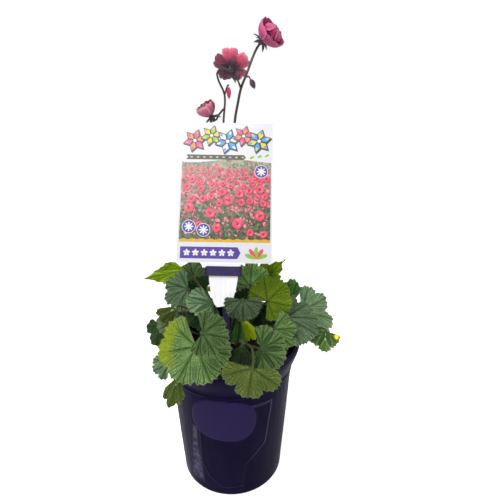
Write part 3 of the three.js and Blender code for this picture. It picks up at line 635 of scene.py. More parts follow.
angle = around(SOIL_COLUMNS)
soil_rings = np.linspace(0.8, 61.0, 58)
x, y = np.outer(soil_rings, np.cos(angle)), np.outer(soil_rings, np.sin(angle))
top = np.stack([x, y, soil_height(x, y)], -1)[::-1]
sides = [SOIL_FOOT, *((wall_radius(z) - WALL - GAP, z) for z in (4.5, 40, 80, 120))]
skirt = np.array([[(r * math.cos(a), r * math.sin(a), z) for a in angle] for r, z in sides])
grid = np.concatenate([skirt, top])
ends = [[0, 0, SOIL_FOOT[1]], [0, 0, float(soil_height(np.zeros(1), np.zeros(1))[0])]]
soil = Piece("potting_soil")
soil.add(np.concatenate([grid.reshape(-1, 3), ends]), ring_faces(len(grid), SOIL_COLUMNS), crumb=0.3)
print("soil:", len(grid), "rings, up to", round(float(top[..., 2].max()), 1), "mm high")

# %% Scatter the crumbs
ball = bmesh.new()
bmesh.ops.create_icosphere(ball, subdivisions=2, radius=1)
ball_points = np.array([v.co for v in ball.verts])
ball_faces = np.array([[v.index for v in f.verts] for f in ball.faces])
ball.free()
CRUMBS, SPREAD_TO, WHITE_SHARE = 460, 59, 0.07
random = np.random.default_rng(11)
for i in range(CRUMBS):
    reach, turn = SPREAD_TO * math.sqrt(random.random()), random.uniform(0, 2 * math.pi)
    place = np.array([reach * math.cos(turn), reach * math.sin(turn)])
    size = random.uniform(0.6, 2.0) * (1 if random.random() < 0.85 else 1.5)
    shape = ball_points * size * (1, random.uniform(0.5, 0.9), random.uniform(0.4, 0.8))
    shape = shape * (1 + 0.25 * wander(ball_points, 1.6, 100 + i))[:, None]
    spin = np.array(Matrix.Rotation(random.uniform(0, 6.28), 3, "Z"))
    at = [*place, float(soil_height(place[:1], place[1:])[0]) + 0.15 * size]
    white = random.random() < WHITE_SHARE
    soil.add(shape @ spin.T + at, [ball_faces], crumb=1.0 if white else random.uniform(0, 0.8))
print(CRUMBS, "crumbs of", len(ball_faces), "faces each")

# %% The soil's colour and grain
soil_mix, tree, shader = new_material("potting mix", Specular_IOR_Level=0.25)
crumb = mark(tree, "crumb")
tint = effect(tree, uneven_tint, Colour=paint("#2a1f17"), Other=paint("#4a3626"), Scale=260.0, Amount=0.8)
bark = mix(tree, spread(tree, crumb, 0.45, 0.8, 0, 0.8), tint["Colour"], paint("#5e4430"))
colour = mix(tree, spread(tree, crumb, 0.9, 0.98), bark, paint("#d8d4c8"))
grain = effect(tree, hairy_skin, Scale=1400.0, Depth=1.0)
roughness = spread(tree, tint["Mask"], 0, 1, 0.75, 0.98)
wire(tree, shader, colour, roughness, grain["Height"], bump=0.7, distance=0.5)
soil.build([soil_mix], "soil", ["soil"])

# %% [markdown]
# ## The label and its holder
# The label is a stiff printed plastic card that leans back, with a narrow neck and a tongue that
# goes through the loop of a dark violet holder. Its print has a generic design of the same sort of
# colours: a garland of pinwheel flowers over a ribbon, a meadow of coral blooms, a gold scalloped
# band, a violet banner, a small lily and three violet discs. A picture could be an image file, but
# the part may use none, so the print is made of flat shapes, laid over each other like cut paper.
# Each lies at least two thousandths of a millimetre above whatever it covers, so no two surfaces
# share a place.

# %% Where the card stands
CARD = dict(width=87, height=134, corner=1.5, thick=1, lean=28, yaw=-3.5, roll=0.8,
            foot=(-5.5, -24, 245))
NECK = dict(width=30.5, height=3)
TONGUE = dict(top=27, bottom=15, height=39)
LOOP = dict(width=32.6, height=8.6, bar=1.8, slot=1.8, cheek=2.2, drop=7.6)
STAKE = dict(width=6.2, thick=2.4, foot=(0, -49, 60), point=12)

turns = (Matrix.Rotation(math.radians(CARD["yaw"]), 4, "Z")
         @ Matrix.Rotation(math.radians(90 - CARD["lean"]), 4, "X")
         @ Matrix.Rotation(math.radians(-CARD["roll"]), 4, "Z"))
card_place = np.array(Matrix.Translation(CARD["foot"]) @ turns)


def placed(points, matrix):
    """Points of a piece's own frame, where the matrix sets them."""
    return np.asarray(points, float) @ matrix[:3, :3].T + matrix[:3, 3]


def prism(outline, low, high, chamfer=0.0):
    """A flat closed shape between two heights, with its upper edge cut back by the chamfer."""
    flat = np.asarray(outline, float)
    count = len(flat)
    levels = [(flat, low), (flat, high)]
    if chamfer:
        way = unit(np.roll(flat, -1, 0) - np.roll(flat, 1, 0))
        inward = np.stack([-way[:, 1], way[:, 0]], -1)
        drawn = flat + inward * chamfer
        levels = [(drawn, low), (flat, low + chamfer), (flat, high - chamfer), (drawn, high)]
    points = np.concatenate([np.column_stack([ring, np.full(count, z)]) for ring, z in levels])
    walls = grid_faces(len(levels), count, wraps=True)[:, ::-1]
    top = np.arange(count)[None] + (len(levels) - 1) * count
    return points, [walls, np.arange(count)[None, ::-1], top]


print("the card's top edge is at", placed([0, CARD["height"], 0], card_place).round(1).tolist(), "mm")


# %% Cut the card, its neck and its tongue
def arc(cx, cy, r, start, stop, steps=6):
    """Points along a rounded corner."""
    return [(cx + r * math.cos(math.radians(a)), cy + r * math.sin(math.radians(a)))
            for a in np.linspace(start, stop, steps)]


def tongue_side(sign, steps=10):
    """The tongue's curved side, from its shoulder to its end."""
    top, end = np.array([sign * TONGUE["top"] / 2, -NECK["height"]]), -TONGUE["height"]
    pull = np.array([sign * TONGUE["top"] / 2, 0.55 * end])
    tip = np.array([sign * TONGUE["bottom"] / 2, end + 2])
    t = np.linspace(0, 1, steps)[:, None]
    return ((1 - t) ** 2 * top + 2 * t * (1 - t) * pull + t * t * tip).tolist()


half, r = CARD["width"] / 2, CARD["corner"]
neck = NECK["width"] / 2
card_outline = [(neck, -NECK["height"]), (neck, 0)] + arc(half - r, r, r, -90, 0)
card_outline += arc(half - r, CARD["height"] - r, r, 0, 90) + arc(-half + r, CARD["height"] - r, r, 90, 180)
card_outline += arc(-half + r, r, r, 180, 270) + [(-neck, 0), (-neck, -NECK["height"])]
end = -TONGUE["height"]
card_outline += tongue_side(-1) + [(-TONGUE["bottom"] / 2 + 2, end), (TONGUE["bottom"] / 2 - 2, end)]
card_outline += tongue_side(1)[::-1]

label = Piece("picture_label")
points, faces = prism(card_outline, -CARD["thick"] / 2, CARD["thick"] / 2, chamfer=0.15)
label.add(placed(points, card_place), faces)
FLUTES = (-6.5, -2.2, 2.2, 6.5)
for x in FLUTES:
    points, faces = tube([(x, y, CARD["thick"] / 2 - 0.1) for y in (-36, -35, -20, -6, -5)],
                         [0.05, 0.4, 0.4, 0.4, 0.05], sides=6)
    label.add(placed(points, card_place), faces)
print("the card's outline has", len(card_outline), "points, and its tongue", len(FLUTES), "flutes")

# %% Choose the inks, and lay each flat shape over the ones before
INKS = {
    "meadow": "#5d7352", "coral": "#d94a62", "blush": "#e07783", "rosy": "#d45c74",
    "red": "#bf2c46", "wine": "#84283e", "leaf": "#56733b", "moss": "#34502c", "gold": "#cfa42a",
    "violet": "#4e3c93", "slate": "#363c48", "pink": "#dc4294", "sky": "#3496dc", "lime": "#82b436",
    "yellow": "#e3bf2a", "orange": "#e28a34", "white": "#dddde1", "paper": "#cdcdd3"}
ink_number = {name: number for number, name in enumerate(INKS, 1)}
covered = np.zeros((CARD["width"] + 2, CARD["height"] + 2), int)
LAYER = 0.002


def lay(outline, ink):
    """Prints one flat shape, one thin layer above everything that it may cover."""
    flat = np.asarray(outline, float)
    after = np.roll(flat, -1, 0)
    if (flat[:, 0] * after[:, 1] - after[:, 0] * flat[:, 1]).sum() < 0:
        flat = flat[::-1]
    low, high = (flat.min(0) + (half, 0)).astype(int), (flat.max(0) + (half, 0)).astype(int)
    below = covered[low[0]:high[0] + 2, low[1]:high[1] + 2]
    below[...] = below.max() + 1
    face = CARD["thick"] / 2
    points, faces = prism(flat, face - 0.02, face + 0.01 + LAYER * below.max())
    label.add(placed(points, card_place), faces, finish=ink_number[ink],
              card_x=points[:, 0], card_y=points[:, 1])


print(len(INKS), "inks")


# %% The shapes that the print is made of
def turned_to(x, y, turn, points):
    """Flat points turned about the origin and then moved."""
    c, s = math.cos(turn), math.sin(turn)
    return [(x + a * c - b * s, y + a * s + b * c) for a, b in points]


def petal_shape(x, y, turn, length, width, steps=10):
    """A flat drop that starts at x and y and widens outward."""
    t = around(steps)
    return turned_to(x, y, turn, zip(length / 2 * (1 - np.cos(t)),
                                     width / 2 * np.sin(t) * (0.93 - 0.18 * np.cos(t))))


def disc(x, y, radius, steps=24):
    """A flat round shape."""
    return [(x + radius * math.cos(t), y + radius * math.sin(t)) for t in around(steps)]


def crown_of(x, y, count, start, length, width, steps, ink):
    """Equal petals round a middle, the first one turned by this share of a step."""
    for k in range(count):
        lay(petal_shape(x, y, (k + start) / count * 2 * math.pi, length, width, steps), ink)


print("a printed petal has", len(petal_shape(0, 0, 0, 5, 2)), "corners, and a disc", len(disc(0, 0, 1)))


# %% Print the paper, the meadow and its leaves
GRASS = 170
random = np.random.default_rng(5)
left, right = -half + 1.9, half - 1.9
edge = [(x, 96 + 1.6 * math.sin(x / 13 + 1)) for x in np.linspace(right, left, 30)]
lay([(0.5 - half, 0.5), (half - 0.5, 0.5), (half - 0.5, 133.5), (0.5 - half, 133.5)], "paper")
lay([(left, 21), (right, 21), *edge], "meadow")
for _ in range(GRASS):
    x, y = random.uniform(-36, 36), random.uniform(24, 84)
    size = 7.5 - 0.05 * y
    turn = math.pi / 2 + random.normal() * 0.7
    length = size * random.uniform(0.6, 1)
    ink = str(random.choice(["leaf", "moss", "moss"]))
    lay(petal_shape(x, y, turn, length, size * 0.22, 8), ink)
print("the meadow is", right - left, "mm wide, with", GRASS, "leaves")

# %% Print the coral blooms, small and dense far off, and large near the bottom
TRIES = 3000
HEIGHTS, RADII = [24, 45, 65, 80, 92], [4.6, 5.4, 4.6, 2.8, 1.7]
PETAL_ROWS = ((7, 1.0, ["coral", "coral", "rosy"]), (6, 0.74, ["coral", "blush", "rosy"]),
              (5, 0.45, ["red", "coral", "red"]))
blooms = []
for _ in range(TRIES):
    x, y = random.uniform(-38, 38), 24 + 65 * random.random() ** 0.7
    radius = np.interp(y, HEIGHTS, RADII) * random.uniform(0.7, 1.1)
    crowd = 0.95 if y > 55 else 1.45
    if abs(x) + radius < 41.2 and y - radius > 21.5 and all(
            math.hypot(x - a, y - b) > crowd * (radius + r) for a, b, r in blooms):
        blooms.append((x, y, radius))
for x, y, radius in sorted(blooms, key=lambda bloom: -bloom[1]):
    lay(disc(x + 0.1 * radius, y - 0.2 * radius, 0.95 * radius, 9), "wine")
    for petals, share, inks in PETAL_ROWS:
        for k in range(petals):
            turn = (k + 0.5 * random.random()) / petals * 2 * math.pi
            length = radius * share * random.uniform(0.88, 1.05)
            lay(petal_shape(x, y, turn, length, length * 0.95, 8), str(random.choice(inks)))
    lay(disc(x, y - 0.1 * radius, 0.16 * radius, 6), "wine")
print(len(blooms), "printed blooms")

# %% Print the garland of pinwheels
PINWHEELS = ((-30.5, 116, 12, "pink", "orange"), (-15, 121, 11, "lime", "yellow"),
             (0.5, 115.5, 13, "sky", "white"), (15.5, 121, 11, "orange", "pink"),
             (30, 116, 12.5, "yellow", "sky"))
for x, y, radius, first, second in PINWHEELS:
    kite = np.array([(0, 0), (0.5, -0.29), (1, 0), (0.5, 0.29)]) * radius
    inner = (kite - (0.5 * radius, 0)) * 0.74 + (0.5 * radius, 0)
    tip = np.array([(0.5, 0), (0.65, -0.1), (0.84, 0), (0.65, 0.1)]) * radius
    turns = [(k + 0.25) / 6 * 2 * math.pi for k in range(6)]
    for turn in turns:
        lay(turned_to(x + 0.8, y - 1.1, turn, kite), "slate")
        lay(turned_to(x, y, turn, kite), "slate")
    for k, turn in enumerate(turns):
        lay(turned_to(x, y, turn, inner), first if k % 2 else second)
        lay(turned_to(x, y, turn, tip), second if k % 2 else first)
    lay(disc(x, y, 0.2 * radius), "slate")
    lay(disc(x, y, 0.13 * radius), "white")
print(len(PINWHEELS), "pinwheels")

# %% Print the ribbon and its leaves, the gold band and the violet banner
lay([(-38, 102), (-36, 99.6), (-38, 97.4), (16, 97.4), (18, 99.6), (16, 102)], "slate")
for x in range(-33, 16, 6):
    lay(petal_shape(x - 1.4, 99.7, 0, 2.8, 1.4, 8), "yellow" if x % 4 else "white")
for k, x in enumerate((24, 31, 38)):
    lay(petal_shape(x - 2.6, 98.5 + k, 0.5, 5, 2.4), "lime")

scallops = [(x, 20.6 + 1.5 * abs(math.sin((x - left) / 8.25 * math.pi)))
            for x in np.linspace(right, left, 91)]
lay([(left, 18.8), (right, 18.8), *scallops], "gold")
lay([(-40, 3.6), (12, 3.6), (15, 9), (12, 14.4), (-40, 14.4)], "violet")
for x in np.arange(-34, 12, 8):
    crown_of(x, 9, 5, 0.25, 3.3, 2.1, 8, "white")
    lay(disc(x, 9, 0.8, 8), "yellow")
print("the band ends at", right, "mm and the banner at 15 mm from the card's middle")

# %% Print the lily and the violet discs
for k, ink in enumerate(("lime", "coral", "lime", "coral", "lime")):
    lay(petal_shape(29, 4, 0.35 + k * 0.61, 11, 4), ink)
for x, y in ((-33, 33), (-19.5, 30), (32.5, 86)):
    lay(disc(x, y, 6.3), "white")
    lay(disc(x, y, 5.8), "violet")
    crown_of(x, y, 8, 0, 4.6, 1.5, 8, "white")
print("the print has up to", covered.max(), "layers, each of", LAYER, "mm")

# %% The card's plastic
card_finish = dict(Coat_Weight=0.3, Coat_Roughness=0.2, Specular_IOR_Level=0.3)
card_plastic, tree, shader = new_material("card plastic", **card_finish)
tint = effect(tree, uneven_tint, Colour=paint("#e9e9ed"), Other=paint("#dededf"), Scale=40.0, Amount=0.7)
scuffs = effect(tree, moulded_scuffs, Scale=120.0, Low=0.3, High=0.45)
wire(tree, shader, tint["Colour"], scuffs["Roughness"], scuffs["Height"], bump=0.02, distance=0.05)
print("the card's plastic has", len(tree.nodes), "nodes")


# %% The inks, of which the meadow's is a field of specks
def meadow_print(tree):
    """Specks of coral among greens. They are dense and pale far off, at the top of the field."""
    high = mark(tree, "card_y")
    flat = node(tree, "ShaderNodeCombineXYZ", {0: mark(tree, "card_x"), 1: high}).outputs[0]
    specks = node(tree, "ShaderNodeTexVoronoi", {"Vector": flat, "Scale": 0.5}).outputs["Color"]
    chance, kind, depth = node(tree, "ShaderNodeSeparateColor", {0: specks}).outputs
    pale = spread(tree, high, 40, 96)
    near = mix(tree, kind, paint("#2c3a26"), paint("#67735a"))
    far = mix(tree, kind, paint("#5a6152"), paint("#a5a28a"))
    greens = mix(tree, pale, near, far)
    rising, ending = spread(tree, high, 30, 66, 0.1, 0.42), spread(tree, high, 82, 92, 1.0, 0.1)
    share = sums(tree, "LESS_THAN", chance, sums(tree, "MULTIPLY", rising, ending))
    return mix(tree, share, greens, mix(tree, depth, paint("#b23a54"), paint("#e7899a")))


inks = [card_plastic]
for name, code in INKS.items():
    ink, tree, shader = new_material(f"print {name}", **card_finish)
    darker = [c * 0.78 for c in paint(code)[:3]] + [1]
    tint = effect(tree, uneven_tint, Colour=paint(code), Other=darker, Scale=330.0,
                  Amount=0.12 if name == "paper" else 0.6)
    colour = meadow_print(tree) if name == "meadow" else tint["Colour"]
    wire(tree, shader, colour, spread(tree, noise(tree, 90.0), 0.3, 0.7, 0.28, 0.4))
    inks.append(ink)
label.build(inks, "label_card", ["label_card"], crease=30)

# %% Mould the holder: a loop round the neck, on a pointed stake
head = placed([0, -LOOP["drop"], -LOOP["slot"] / 2 - LOOP["bar"]], card_place)
foot = np.array(STAKE["foot"], float)
rise = unit(head - foot)
across = unit(np.array([1.0, 0, 0]) - rise * rise[0])
stake_place = np.eye(4)
stake_place[:3, :3] = np.stack([across, rise, np.cross(across, rise)], 1)
stake_place[:3, 3] = foot
length = float(np.linalg.norm(head - foot))


def cut_box(size, centre, cut):
    """A box with cut edges: an outline with cut corners, drawn in at its top and bottom."""
    x, y, z = (s / 2 for s in size)
    outline = [(x - cut, -y), (x, -y + cut), (x, y - cut), (x - cut, y),
               (-x + cut, y), (-x, y - cut), (-x, -y + cut), (-x + cut, -y)]
    points, faces = prism(outline, -z, z, chamfer=cut)
    return points + centre, faces


print("the stake is", round(length, 1), "mm long below the loop")

# %% Join the loop's four bars with the stake and its rib
holder = Piece("label_holder_moulding")
cheek_x = (LOOP["width"] - LOOP["cheek"]) / 2
bar_z = (LOOP["slot"] + LOOP["bar"]) / 2
deep = LOOP["slot"] + 2 * LOOP["bar"]
for size, centre in (
        ((LOOP["width"], LOOP["height"], LOOP["bar"]), (0, -LOOP["drop"], bar_z)),
        ((LOOP["width"], LOOP["height"], LOOP["bar"]), (0, -LOOP["drop"], -bar_z)),
        ((LOOP["cheek"], LOOP["height"], deep), (cheek_x, -LOOP["drop"], 0)),
        ((LOOP["cheek"], LOOP["height"], deep), (-cheek_x, -LOOP["drop"], 0))):
    points, faces = cut_box(size, centre, 0.45)
    holder.add(placed(points, card_place), faces)
wide, tip = STAKE["width"] / 2, STAKE["point"]
blade = [(0.4, 0), (wide, tip), (wide, length), (-wide, length), (-wide, tip), (-0.4, 0)]
points, faces = prism(blade, -STAKE["thick"] / 2, STAKE["thick"] / 2, chamfer=0.35)
holder.add(placed(points, stake_place), faces)
rib = [(0, y, STAKE["thick"] / 2 - 0.3) for y in (tip, tip + 4, length - 9, length - 3)]
points, faces = tube(rib, [0.1, 0.9, 0.9, 0.1], sides=10)
holder.add(placed(points, stake_place), faces)

holder_plastic, tree, shader = new_material("holder plastic", Specular_IOR_Level=0.22)
tint = effect(tree, uneven_tint, Colour=paint("#2e2650"), Other=paint("#201a38"), Scale=70.0, Amount=0.6)
scuffs = effect(tree, moulded_scuffs, Scale=110.0, Low=0.3, High=0.46)
wire(tree, shader, tint["Colour"], scuffs["Roughness"], scuffs["Height"], bump=0.2, distance=0.08)
holder.build([holder_plastic], "label_holder", ["label_holder"], crease=30)

# %% [markdown]
# ## The leaves
# A geum leaf is round, with blunt lobes and small teeth, and its veins are sunk so that the blade
# puffs up between them. Hairs edge the blade and its stalk. A leaf could be a flat picture on a
# card, but then its edge and its folds would be lost. Here every blade is a polar grid: columns
# fan out from the hub where the stalk meets it, and rings run round it. The outline, the curl and
# the place of each leaf repeat the CAD source, and the teeth, veins and hairs are added to it.

# %% The leaf shapes: lobes, teeth in each, the angle they reach to, and how far in they are cut
SHAPES = {
    "round": dict(lobes=5, teeth=5, reach=152, back=0.2, notch=0.1),
    "fan": dict(lobes=5, teeth=3, reach=140, back=0.3, notch=0.1),
    "three": dict(lobes=3, teeth=7, reach=128, back=0.1, notch=0.3),
    "small": dict(lobes=3, teeth=4, reach=130, back=0.3, notch=0.12),
    "wedge": dict(lobes=3, teeth=4, reach=75, back=0.5, notch=0.12),
    "blade": dict(lobes=3, teeth=4, reach=60, back=3, notch=0.06),
}
print("shapes:", ", ".join(SHAPES))

# %% Where each leaf stands
LEAVES = []


def leaf(shape, hub, aim, pitch, size, tone, **more):
    """hub is where blade and stalk meet, aim and pitch turn the midrib, size is its length.

    bend and wing curl the blade along and across, fold closes it on its midrib, and roll turns it
    about the midrib. lead bows the stalk, and rootAngle says where in the crown it starts. point
    gives a tapered blade, and blush, spot and shade are marks for its colour.
    """
    plain = dict(lead=0.28, bend=0, wing=0, fold=0, roll=0, rootAngle=None, blush=None, spot=None,
                 point=0, shade=1.0)
    LEAVES.append({**plain, **SHAPES[shape], "hub": np.array(hub, float), "aim": aim, "pitch": pitch,
                   "size": size, "tone": tone, **more})


# shade scales a leaf's whole colour: partly the leaf's own tone, and partly painted light and painted shade.
leaf("round", (-30, -64, 184), -137, -48, 32, "mid", wing=-0.2, roll=-41, back=0.1, reach=130,
     blush=(-70, 45, 0.5), shade=1.45)
leaf("fan", (-23, -78, 205), -6, -11, 21, "mid", bend=0.2, roll=58, reach=118, shade=0.75)
leaf("three", (17, -87, 176), -145, -79, 28, "olive", bend=0.2, roll=-47, back=0.3, reach=100,
     lead=0.5, rootAngle=-72, shade=1.35)
leaf("wedge", (10, -63, 185), -126, -76, 21, "deep", roll=-31, reach=45, teeth=3, lead=0.06, rootAngle=-68,
     shade=0.7)
leaf("fan", (26, -57, 175), -27, -16, 23, "mid", wing=-0.2, roll=52, back=0.15, reach=135, teeth=4,
     rootAngle=-52)
leaf("fan", (38, -44, 187), -14, -41, 22, "mid", roll=58, reach=110, lead=0.4, rootAngle=-42, shade=1.25)
leaf("fan", (11, -43, 217), -93, -63, 19, "blue", bend=0.3, roll=-1, reach=100, lead=0.06, rootAngle=-97,
     shade=0.7)
leaf("wedge", (8, -26, 194), -37, -76, 29, "deep", roll=50, reach=35, blush=(25, 22, 0.0), shade=3.2)
leaf("round", (35, -20, 204), 19, 38, 24, "lime", bend=-0.2, roll=55, back=0.3, reach=140)
leaf("round", (53, -24, 188), 4, -2, 32, "blue", bend=0.3, wing=0.2, roll=27, reach=90, shade=1.1)
leaf("round", (72, 4, 179), 6, -15, 38, "blue", bend=0.3, roll=40, back=0.4, reach=92, shade=2)
leaf("small", (90, -32, 177), -109, -63, 19, "mid", fold=-35, roll=-4, reach=80, spot=(70, 0.78, 2.3),
     shade=1.5)
leaf("blade", (64, 14, 184), 94, 81, 26, "deep", roll=-12, back=5, reach=36, teeth=2, shade=4.8)
leaf("wedge", (27, 6, 208), 16, 39, 38, "lime", fold=40, roll=51, reach=60, teeth=3, point=0.5, shade=1.6)
leaf("fan", (19, -8, 214), 70, 74, 23, "mid", roll=16, reach=100, shade=3.0)
leaf("small", (-16, -25, 206), -162, 6, 25, "blue", roll=-18, reach=80, shade=1.65)
leaf("fan", (-41, -4, 211), -170, -18, 24, "blue", bend=0.2, roll=-41, reach=105)
leaf("blade", (-44, 13, 224), 180, -12, 42, "lime", fold=15, roll=-64, reach=48, teeth=3, lead=0.06,
     rootAngle=169, point=0.66, shade=1.6)
leaf("small", (-25, 13, 198), -173, 34, 20, "deep", roll=-71, reach=70, teeth=3, lead=0.5, rootAngle=167)
leaf("fan", (-25, -34, 201), -119, -74, 17, "deep", roll=-29, reach=105, rootAngle=-163, shade=0.8)
leaf("small", (-51, -30, 191), -165, -24, 17, "pale", roll=-45, reach=95)
leaf("small", (-65, -17, 177), 180, -54, 21, "deep", fold=-20, roll=-70, reach=75, teeth=3, lead=0.06,
     rootAngle=-185)
leaf("small", (-56, -54, 161), -171, -22, 15, "blue", roll=-54, reach=62, teeth=3, shade=1.6)
leaf("blade", (-45, -76, 163), -149, -69, 27, "olive", fold=-20, roll=-49, reach=32, teeth=3, shade=1.25)
leaf("fan", (2, 50, 172), 88, -14, 34, "mid", bend=0.5)
leaf("fan", (46, 46, 160), 44, -12, 30, "mid", bend=0.5)
leaf("fan", (-42, 44, 164), 134, -12, 33, "blue", bend=0.5)
leaf("fan", (-58, 20, 174), 160, -18, 26, "mid", bend=0.4)
leaf("fan", (24, 38, 190), 75, -6, 22, "blue", bend=0.4)
leaf("fan", (-26, 45, 186), 122, -4, 25, "lime", bend=0.4, lead=0.06, rootAngle=115)
leaf("fan", (15, -15, 197), 87, 70, 17, "deep", roll=1, reach=100, rootAngle=-3)
leaf("small", (-37, 19, 209), 122, 69, 20, "mid", roll=-24, teeth=3, lead=0.2, rootAngle=147)
leaf("wedge", (-48, -32, 207), -173, -37, 21, "olive", fold=-20, roll=-69, reach=30, teeth=3,
     lead=0.06, rootAngle=-137)
leaf("fan", (29, 4, 187), -64, -80, 26, "deep", roll=28, reach=95, lead=0.06, rootAngle=-13)
print(len(LEAVES), "leaves")

# %% Draw a blade's outline, with round teeth of uneven size
# These are shares of the blade's radius: how deep a tooth is cut, how high a pleat rises, and how
# deep the small teeth on the large ones are cut.
TOOTH, PLEAT, SMALL_TOOTH = 0.035, 0.05, 0.013


def outline_radius(leaf, angle, seed):
    """How far the blade reaches at each angle from its midrib."""
    place = (angle / leaf["reach"] + 1) / 2 * leaf["lobes"]
    in_lobe = 2 * (place % 1) - 1
    teeth = place * leaf["teeth"]
    in_tooth = np.abs(2 * (teeth % 1) - 1)
    uneven = np.random.default_rng(seed).uniform(0.7, 1.3, leaf["lobes"] * leaf["teeth"] + 1)
    bite = TOOTH * 0.9 * uneven[np.clip(teeth.astype(int), 0, len(uneven) - 1)]
    heart = 1 - leaf["back"] * (1 - np.cos(np.radians(angle))) / 2
    if leaf["point"]:
        heart = 1 - leaf["point"] * np.abs(angle / leaf["reach"]) ** 0.6
    lobe = 1 - leaf["notch"] * in_lobe**4
    small = SMALL_TOOTH * (1 - 2 * np.abs(2 * ((2 * teeth + 0.5) % 1) - 1) ** 1.4)
    return leaf["size"] * heart * lobe * (1 + bite * (1 - 2 * in_tooth**2.2) + small)


print("leaf 1 reaches", outline_radius(LEAVES[0], np.array([0.0]), 10).round(1)[0], "mm along its midrib")


# %% Curl and fold the blade, and set it in its place
def rolled(length, turn):
    """A flat length bent into an arc: how far it reaches, and how far it drops."""
    if abs(turn) < 1e-6:
        return length, np.zeros_like(length)
    return np.sin(turn * length) / turn, -(1 - np.cos(turn * length)) / turn


def blade_surface(leaf, x, y):
    """The plain curved blade, as in the CAD source."""
    along, drop = rolled(x, leaf["bend"] / leaf["size"])
    across, sag = rolled(y, leaf["wing"] / leaf["size"])
    fold = math.radians(leaf["fold"])
    place = (np.degrees(np.arctan2(y, x)) / leaf["reach"] + 1) / 2 * leaf["lobes"]
    pleat = -PLEAT * np.hypot(x, y) * np.cos(2 * math.pi * place)
    lift = np.abs(across) * math.sin(fold)
    return np.stack([along, across * math.cos(fold), drop + sag + lift + pleat], -1)


def leaf_matrix(leaf):
    """X runs along the midrib and Z rises from the blade."""
    aim, pitch = math.radians(leaf["aim"]), math.radians(leaf["pitch"])
    level = math.cos(pitch)
    midrib = np.array([math.cos(aim) * level, math.sin(aim) * level, math.sin(pitch)])
    side = np.array([-math.sin(aim), math.cos(aim), 0])
    matrix = np.eye(4)
    matrix[:3, :3] = np.stack([midrib, side, np.cross(midrib, side)], 1)
    matrix[:3, :3] = matrix[:3, :3] @ np.array(Matrix.Rotation(math.radians(leaf["roll"]), 3, "X"))
    matrix[:3, 3] = leaf["hub"]
    return matrix


print("the hub of leaf 1 is at", leaf_matrix(LEAVES[0])[:3, 3].tolist(), "mm")


# %% Run a side vein to every tooth
def vein_count(leaf, angle, share, flat, seed):
    """Counts the veins across a lobe. They leave its rib in turn, and each runs to one tooth."""
    half, teeth = leaf["reach"] / leaf["lobes"], leaf["teeth"]
    sway = 0.05 * wander(flat, 9, seed + 7) * smooth_step(share, 0.1, 0.6)
    across = (angle / half + leaf["lobes"]) % 2 - 1 + sway
    ends = np.arange(-teeth, teeth + 1) / teeth
    starts = 0.05 + 0.55 * (1 - np.abs(ends))
    count = np.empty(flat.shape[:2])
    for row, s in enumerate(share[:, 0]):
        run = np.clip((s - starts) / (1 - starts), 0, 1) ** 0.75
        knots = ends * run + np.linspace(-1e-4, 1e-4, len(ends))
        count[row] = np.interp(across[row], knots, np.arange(len(ends)) / 2 + (teeth % 2) / 2)
    return count


print("leaf 1 has", LEAVES[0]["lobes"] * LEAVES[0]["teeth"], "teeth, each with its vein")

# %% Puff the blade between its veins, and ruffle its edge
CELL = 2.7


def puffed(flat, share, radius, from_rib, count, seed):
    """Rises in cells between the veins, about CELL mm long, and sinks over the ribs."""
    steps_out = radius / CELL + 0.35 * wander(flat, 7, seed + 5) + 0.5 * np.floor(count)
    rows = 0.7 + 0.3 * np.abs(np.sin(math.pi * steps_out)) ** 0.7
    cells = np.abs(np.sin(math.pi * count)) ** 0.6 * rows
    soft = smooth_step(share, 0.08, 0.35) * (1 - 0.35 * smooth_step(share, 0.9, 1))
    groove = np.exp(-(from_rib / 0.8) ** 2) * (1 - 0.75 * share) * smooth_step(share, 0.04, 0.15)
    return 0.7 * (cells - 0.5) * soft - 0.6 * groove + 0.3 * wander(flat, 4.2, seed + 9) * soft


def ruffled(size, flat, share, angle, seed):
    """The edge waves up and down, and the whole blade sways a little."""
    waves = share**3 * np.sin(angle * 0.105 + seed) + 0.45 * share**5 * np.sin(angle * 0.33 + 2 * seed)
    return 0.045 * size * waves, 0.022 * size * share * wander(flat, size * 0.8, seed + 3)


print("the cells between two veins are about", CELL, "mm long")

# %% Make the blade's sheet, with its marks for the materials
QUARTER, HALF_SHEET = 42, 0.22


def polar_grid(leaf, seed):
    """The share of the way out, the angles and the radii. QUARTER is about a fourth of the columns."""
    steps = leaf["lobes"] * leaf["teeth"]
    columns = steps * 4 * max(2, round(QUARTER / steps)) + 1
    share = np.linspace(0.04, 1, int(8 + leaf["size"] * 0.55))[:, None]
    angle = np.linspace(-1, 1, columns) * leaf["reach"] * (1 - 1e-9)
    return share, angle, share * outline_radius(leaf, angle, seed)


def blush_and_spot(leaf, flat, share, angle):
    """Where the blade is blushed with yellow green, and where it has a small yellow spot."""
    blush, spot = np.zeros(flat.shape[:2]), np.zeros(flat.shape[:2])
    if leaf["blush"]:
        middle, reach, start = leaf["blush"]
        blush = np.exp(-((angle - middle) / reach) ** 4) * smooth_step(share, start, start + 0.35)
    if leaf["spot"]:
        at, out, width = leaf["spot"]
        centre = flat[int(out * (len(flat) - 1)), int(np.argmin(np.abs(angle - at)))]
        spot = np.exp(-(np.linalg.norm(flat - centre, axis=-1) / width) ** 4)
    return dict(blush=blush, spot=spot)


